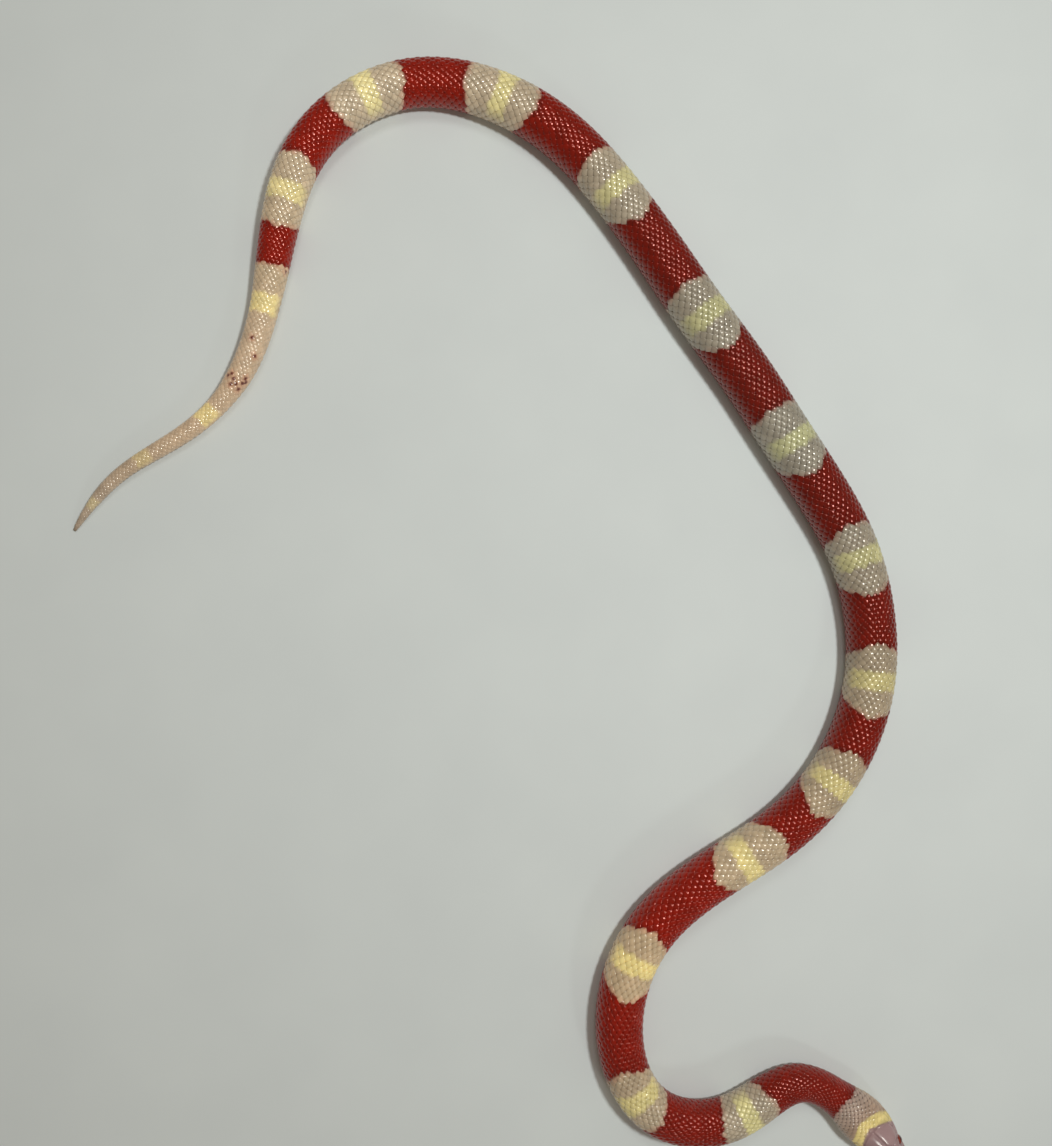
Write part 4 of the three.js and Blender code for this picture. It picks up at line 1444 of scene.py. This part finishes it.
def shield_net(outline):
    """Points, heights and faces of one flat shield."""
    outline = np.array(outline, float)
    area = np.sum(outline[:, 0] * np.roll(outline[:, 1], -1) - np.roll(outline[:, 0], -1) * outline[:, 1])
    if area < 0:
        outline = outline[::-1]
    edge = inset(rounded(outline, SHIELD_NET), SEAM / 2)
    rings = [inset(edge, depth) for depth, _ in SHIELD_RINGS]
    heights = [np.full(len(edge), height) for _, height in SHIELD_RINGS]
    low = edge.min(0)
    high = edge.max(0)
    steps = [np.arange(low[axis], high[axis], SHIELD_NET) for axis in (0, 1)]
    grid_x, grid_y = np.meshgrid(*steps)
    grid_x[1::2] += SHIELD_NET / 2
    grid = np.stack([grid_x.ravel(), grid_y.ravel()], axis=1)
    depth = edge_distance(grid, edge)
    rim_depth, rim_height = SHIELD_RINGS[-1]
    keep = inside(grid, edge) & (depth > rim_depth + SHIELD_NET_GAP)
    shoulder = smooth_step(0, SHIELD_SHOULDER, depth[keep])
    rings.append(grid[keep])
    heights.append(rim_height + (SHIELD_RISE - rim_height) * shoulder)
    points = np.vstack(rings)
    count = len(edge)
    loops = [
        (ring * count + i, ring * count + (i + 1) % count)
        for ring in range(len(SHIELD_RINGS))
        for i in range(count)
    ]
    flat_points = [Vector(p) for p in points]
    made = geometry.delaunay_2d_cdt(flat_points, loops, [list(range(count))], FACES_INSIDE, NO_LENGTH)
    order = [old[0] if old else 0 for old in made[3]]
    faces = [[order[i] for i in face] for face in made[2]]
    return points, np.concatenate(heights), faces, edge_distance(points, edge)


print("net points of a shield 2 mm square:", len(shield_net([(0, 0), (2, 0), (2, 2), (0, 2)])[0]))

# %% [markdown]
# The order of the shields is the species' own: a rostral on the snout, pairs of internasals and
# prefrontals, a frontal between two supraoculars, and a pair of large parietals. On each side a
# nasal parted at the nostril, one loreal, one preocular, two postoculars and the temporals lie
# above eight upper lip shields, and eight lower ones meet them. Numbers are mm behind the snout and
# mm out from the middle line, or above the floor. The rostral and the mental are drawn from the
# front, so theirs are mm to the side and above the floor.

# %% Outlines of the shields
CROWN_PAIRS = {
    "internasal": [(0.68, 0), (0.72, 0.95), (1.15, 1.38), (2.15, 1.62), (2.15, 0)],
    "prefrontal": [(2.15, 0), (2.15, 1.62), (2.8, 1.8), (3.75, 1.98), (3.95, 1.1), (3.85, 0)],
    "supraocular": [(3.95, 1.1), (3.8, 2.05), (4.4, 2.35), (5.6, 2.55), (6.3, 2.5), (6.15, 0.9)],
    "parietal": [
        (7.25, 0), (6.15, 0.9), (6.3, 2.5), (6.6, 2.85), (7.4, 3.2), (8.5, 3.45), (9.8, 3.45),
        (10.6, 3.1), (11.45, 1.8), (11.6, 0),
    ],
}
FRONTAL = [(3.85, 0), (3.95, 1.1), (6.15, 0.9), (7.25, 0), (6.15, -0.9), (3.95, -1.1)]
CHEEK = {
    "fore_nasal": [(0.68, 2.95), (1.23, 2.98), (1.23, 3.72), (0.83, 3.5)],
    "rear_nasal": [(1.27, 2.98), (2.15, 3.0), (2.15, 3.96), (1.27, 3.74)],
    "loreal": [(2.15, 3.0), (3.0, 3.02), (3.08, 3.7), (2.85, 4.15), (2.15, 3.96)],
    "preocular": [
        (3.0, 3.02), (3.85, 3.05), (4.1, 3.5), (4.05, 4.05), (3.6, 4.25), (2.85, 4.15), (3.08, 3.7),
    ],
    "lower_postocular": [(5.85, 3.1), (6.7, 3.12), (6.75, 3.75), (5.95, 3.75), (5.9, 3.5)],
    "upper_postocular": [(5.95, 3.75), (6.75, 3.75), (6.7, 4.4), (6.05, 4.5), (5.8, 4.2)],
    "fore_temporal_low": [(6.7, 3.12), (8.5, 3.15), (8.7, 3.55), (8.5, 3.95), (6.75, 3.85)],
    "fore_temporal_high": [(6.75, 3.85), (8.5, 3.95), (8.5, 4.72), (6.72, 4.56)],
    "mid_temporal_low": [(8.5, 3.15), (10, 3.2), (10.2, 3.55), (10, 3.75), (8.7, 3.55)],
    "mid_temporal": [(8.7, 3.55), (10, 3.75), (10.1, 4.2), (8.5, 4.2), (8.5, 3.95)],
    "mid_temporal_high": [(8.5, 4.2), (10.1, 4.2), (10.1, 5.02), (9.4, 4.96), (8.5, 4.72)],
    "rear_temporal_low": [(10, 3.2), (11.45, 3.3), (11.45, 3.8), (10.2, 3.75), (10.2, 3.55)],
    "rear_temporal": [(10.1, 3.78), (11.45, 3.82), (11.45, 4.4), (10.1, 4.4)],
    "rear_temporal_high": [(10.1, 4.4), (11.45, 4.4), (11.55, 4.95), (11.0, 5.3), (10.1, 5.05)],
}
UPPER_LIP_SEAMS = (0.55, 1.4, 2.4, 3.65, 4.95, 6.25, 7.9, 9.8, 11.55)
UPPER_LIP = 0.84
LOWER_LIP_SEAMS = (0.9, 1.75, 2.75, 3.85, 5.05, 6.4, 7.9, 9.7, 11.3)
LOWER_LIP = 1.3
LIP_GAP = 0.09
LIP_SLANT = 0.12
ROSTRAL = [
    (-0.9, 2.3), (-0.5, 2.22), (0.5, 2.22), (0.9, 2.3),
    (0.85, 2.95), (0.45, 3.45), (-0.45, 3.45), (-0.85, 2.95),
]
MENTAL = [(-0.75, 1.95), (-0.5, 0.95), (0.5, 0.95), (0.75, 1.95)]
CHIN_PAIRS = {
    "fore_chin": [(1.65, 0), (1.5, 0.6), (2.4, 1.4), (4.5, 1.75), (5.05, 0.95), (5.4, 0)],
    "rear_chin": [(5.4, 0.25), (5.05, 0.95), (4.5, 1.75), (5.7, 2.2), (7.7, 2.1), (8.8, 1.3), (8.4, 0.4)],
}


print("outlines of one side of the crown:", len(CROWN_PAIRS), "of one cheek:", len(CHEEK))


# %% Lip shields, mirror images and the two sets
def lip_shields(seams, near, far):
    """Outlines of the shields along a lip, between two heights measured from the mouth line."""
    made = {}
    for number, (start, end) in enumerate(zip(seams, seams[1:])):
        slant = LIP_SLANT if number else 0
        low = [(d, float(mouth_height(np.array([d]))[0]) + near) for d in (start, end)]
        tops = (end + LIP_SLANT, start + slant)
        high = [(d, float(mouth_height(np.array([d]))[0]) + far) for d in tops]
        made[str(number + 1)] = [*low, *high]
    return made


def mirrored(outline):
    """The outline of the shield on the other side of the middle line."""
    return [(a, -b) for a, b in outline]


shields = {"frontal": ("crown", FRONTAL), "rostral": ("front", ROSTRAL)}
for name, outline in CROWN_PAIRS.items():
    shields[name + "_right"] = ("crown", outline)
    shields[name + "_left"] = ("crown", mirrored(outline))
for side in ("left", "right"):
    for name, outline in CHEEK.items():
        shields[f"{name}_{side}"] = (side, outline)
    for number, outline in lip_shields(UPPER_LIP_SEAMS, LIP_GAP, UPPER_LIP).items():
        shields[f"upper_lip_{number}_{side}"] = (side, outline)
chin_shields = {"mental": ("front", MENTAL)}
for name, outline in CHIN_PAIRS.items():
    chin_shields[name + "_right"] = ("throat", outline)
    chin_shields[name + "_left"] = ("throat", mirrored(outline))
for side in ("left", "right"):
    for number, outline in lip_shields(LOWER_LIP_SEAMS, -LIP_GAP, -LOWER_LIP).items():
        chin_shields[f"lower_lip_{number}_{side}"] = (side, outline)
print("shields of head and lower jaw:", len(shields), len(chin_shields))

# %% Making the shields
# Each view has its own block of the unwrap, and a shift in mm that brings its outlines into it
VIEW_BLOCKS = {
    "crown": (0.02, 0.27),
    "left": (0.02, 0.52),
    "right": (0.02, 0.77),
    "front": (0.72, 0.27),
    "throat": (0.52, 0.02),
}
VIEW_SHIFTS = {"crown": (0, 3), "left": (0, 0), "right": (0, 0), "front": (2, 0), "throat": (0, 3)}
TURNED_VIEWS = ("left", "throat")
UNWRAP_SCALE = 0.04
SHIELD_TONE = 1.28
SHIELD_TONE_SPREAD = 0.07
SHIELD_RIM = 0.25
SHIELD_SEEDS = (301, 302)


def shield_piece(name, outlines, seed):
    """One mesh of all the shields in a set, with their unwrap, pigments and tones."""
    draws = draw_numbers(seed)
    points = []
    faces = []
    uvs = []
    rims = []
    tones = []
    distances = []
    sides = []
    for view, outline in outlines.values():
        net, heights, net_faces, depths = shield_net(outline)
        tone = SHIELD_TONE * (1 + draws.uniform(-SHIELD_TONE_SPREAD, SHIELD_TONE_SPREAD))
        first = len(points)
        block = np.array(VIEW_BLOCKS[view])
        for place, height, depth in zip(net, heights, depths):
            hit, normal, distance, side = thrown(*view_ray(view, *place))
            points.append(hit + normal * height)
            distances.append(distance)
            sides.append(side)
            rims.append(1 - min(depth / SHIELD_RIM, 1))
            tones.append(tone)
            uvs.append(block + UNWRAP_SCALE * (place + VIEW_SHIFTS[view]))
        for face in net_faces:
            corners = [first + i for i in face]
            faces.append(corners[::-1] if view in TURNED_VIEWS else corners)
    made = mesh_object(name, np.array(points) * MM, faces, shield_keratin)
    corner_uvs = np.array(uvs)[[corner for face in faces for corner in face]]
    store(made.data, "OFBake", corner_uvs, domain="CORNER", kind="FLOAT2", field="vector")
    for pigment, amount in markings(np.array(distances), np.array(sides)).items():
        store(made.data, pigment, amount)
    store(made.data, "tone", np.array(tones))
    store(made.data, "rim", np.array(rims))
    print(name, "shields:", len(outlines), "faces:", len(faces))
    return made


coat_pieces["head_shields"] = shield_piece("head_shields", shields, SHIELD_SEEDS[0])
coat_pieces["chin_shields"] = shield_piece("chin_shields", chin_shields, SHIELD_SEEDS[1])

# %% [markdown]
# ## Eyes
#
# A snake has no eyelids. A clear scale, the spectacle, covers the eye and makes it shine like a bead.
# In an albino the iris is rusty red and the pupil lets the red of the blood through. The ball is a
# dome turned outwards; rings of points keep the round pupil clean, and the spectacle is the clear
# coat of its material.

# %% Eyeballs
EYE_RADIUS = 1.12
EYE_PROUD = 0.3
EYE_RINGS = 14
EYE_SIDES = 32
# Places on the ball's front, from its middle to its widest ring
PUPIL = 0.42
PUPIL_BLUR = 0.03
IRIS_EDGE = 0.8
PUPIL_RED = "4a0a0c"
IRIS_RUST = "8f3a2a"
IRIS_EDGE_RED = "6a201a"
CORNEA_ROUGHNESS = 0.25
SPECTACLE_ROUGHNESS = 0.03

# Wet cornea under clear horn: a soft gloss below a hard, polished one
eye_wet, eye_tree, eye_shader = new_material("albino_eye")
eye_reach = add_node(eye_tree, "ShaderNodeAttribute", attribute_name="rim").outputs["Fac"]
eye_ramp = add_node(eye_tree, "ShaderNodeValToRGB", {0: eye_reach})
eye_colours = eye_ramp.color_ramp.elements
eye_colours[0].position = PUPIL - PUPIL_BLUR
eye_colours[0].color = linear(PUPIL_RED)
eye_colours[1].position = PUPIL + PUPIL_BLUR
eye_colours[1].color = linear(IRIS_RUST)
eye_colours.new(IRIS_EDGE).color = linear(IRIS_EDGE_RED)
eye_tree.links.new(eye_ramp.outputs[0], eye_shader.inputs["Base Color"])
eye_shader.inputs["Roughness"].default_value = CORNEA_ROUGHNESS
eye_shader.inputs["Coat Weight"].default_value = 1.0
eye_shader.inputs["Coat Roughness"].default_value = SPECTACLE_ROUGHNESS


def eyeball(name, side):
    """A ball in the socket of one side, with rings round the axis it looks along."""
    share = side * share_at_height(EYE_AT, EYE_HEIGHT)
    step = 0.02
    around = np.array([(EYE_AT, share), (EYE_AT + step, share), (EYE_AT, share + side * step)])
    at, ahead, beside = surface(around[:, 0], around[:, 1])
    look = np.cross(ahead - at, (beside - at) * side)
    look /= np.linalg.norm(look)
    centre = at + look * (EYE_PROUD - EYE_RADIUS)
    level = np.cross(look, (0, 0, 1))
    level /= np.linalg.norm(level)
    up = np.cross(level, look)
    points = [centre + look * EYE_RADIUS]
    rims = [0]
    for ring in range(1, EYE_RINGS):
        turn = math.pi * ring / EYE_RINGS
        for i in range(EYE_SIDES):
            way = 2 * math.pi * i / EYE_SIDES
            flat = level * math.cos(way) + up * math.sin(way)
            points.append(centre + EYE_RADIUS * (look * math.cos(turn) + flat * math.sin(turn)))
            rims.append(min(1.0, 2 * turn / math.pi))
    points.append(centre - look * EYE_RADIUS)
    rims.append(1)
    faces = [(0, 1 + i, 1 + (i + 1) % EYE_SIDES) for i in range(EYE_SIDES)]
    for ring in range(EYE_RINGS - 2):
        for i in range(EYE_SIDES):
            a = 1 + ring * EYE_SIDES + i
            b = 1 + ring * EYE_SIDES + (i + 1) % EYE_SIDES
            faces.append((a, a + EYE_SIDES, b + EYE_SIDES, b))
    back_pole = len(points) - 1
    last = back_pole - EYE_SIDES
    faces += [(back_pole, last + (i + 1) % EYE_SIDES, last + i) for i in range(EYE_SIDES)]
    made = mesh_object(name, np.array(points) * MM, faces, eye_wet)
    store(made.data, "rim", np.array(rims))
    return made


eyes = {name: eyeball(name + "_ball", side) for name, side in (("eye_left", -1), ("eye_right", 1))}
print("eyes:", [o.name for o in eyes.values()])

# %% [markdown]
# ## Tying the pieces to the body
#
# Every piece is tied to the body of the imported model, and the solids that the pieces stand in for
# are hidden.

# %% Pieces and bodies
FLESH = [name for name in frame["nodes"] if not name.startswith("eye_")]
for name, piece in coat_pieces.items():
    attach(piece, "root")
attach(skin, "root")
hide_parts(*FLESH)
for name, ball in eyes.items():
    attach(ball, "root")
    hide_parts(name)
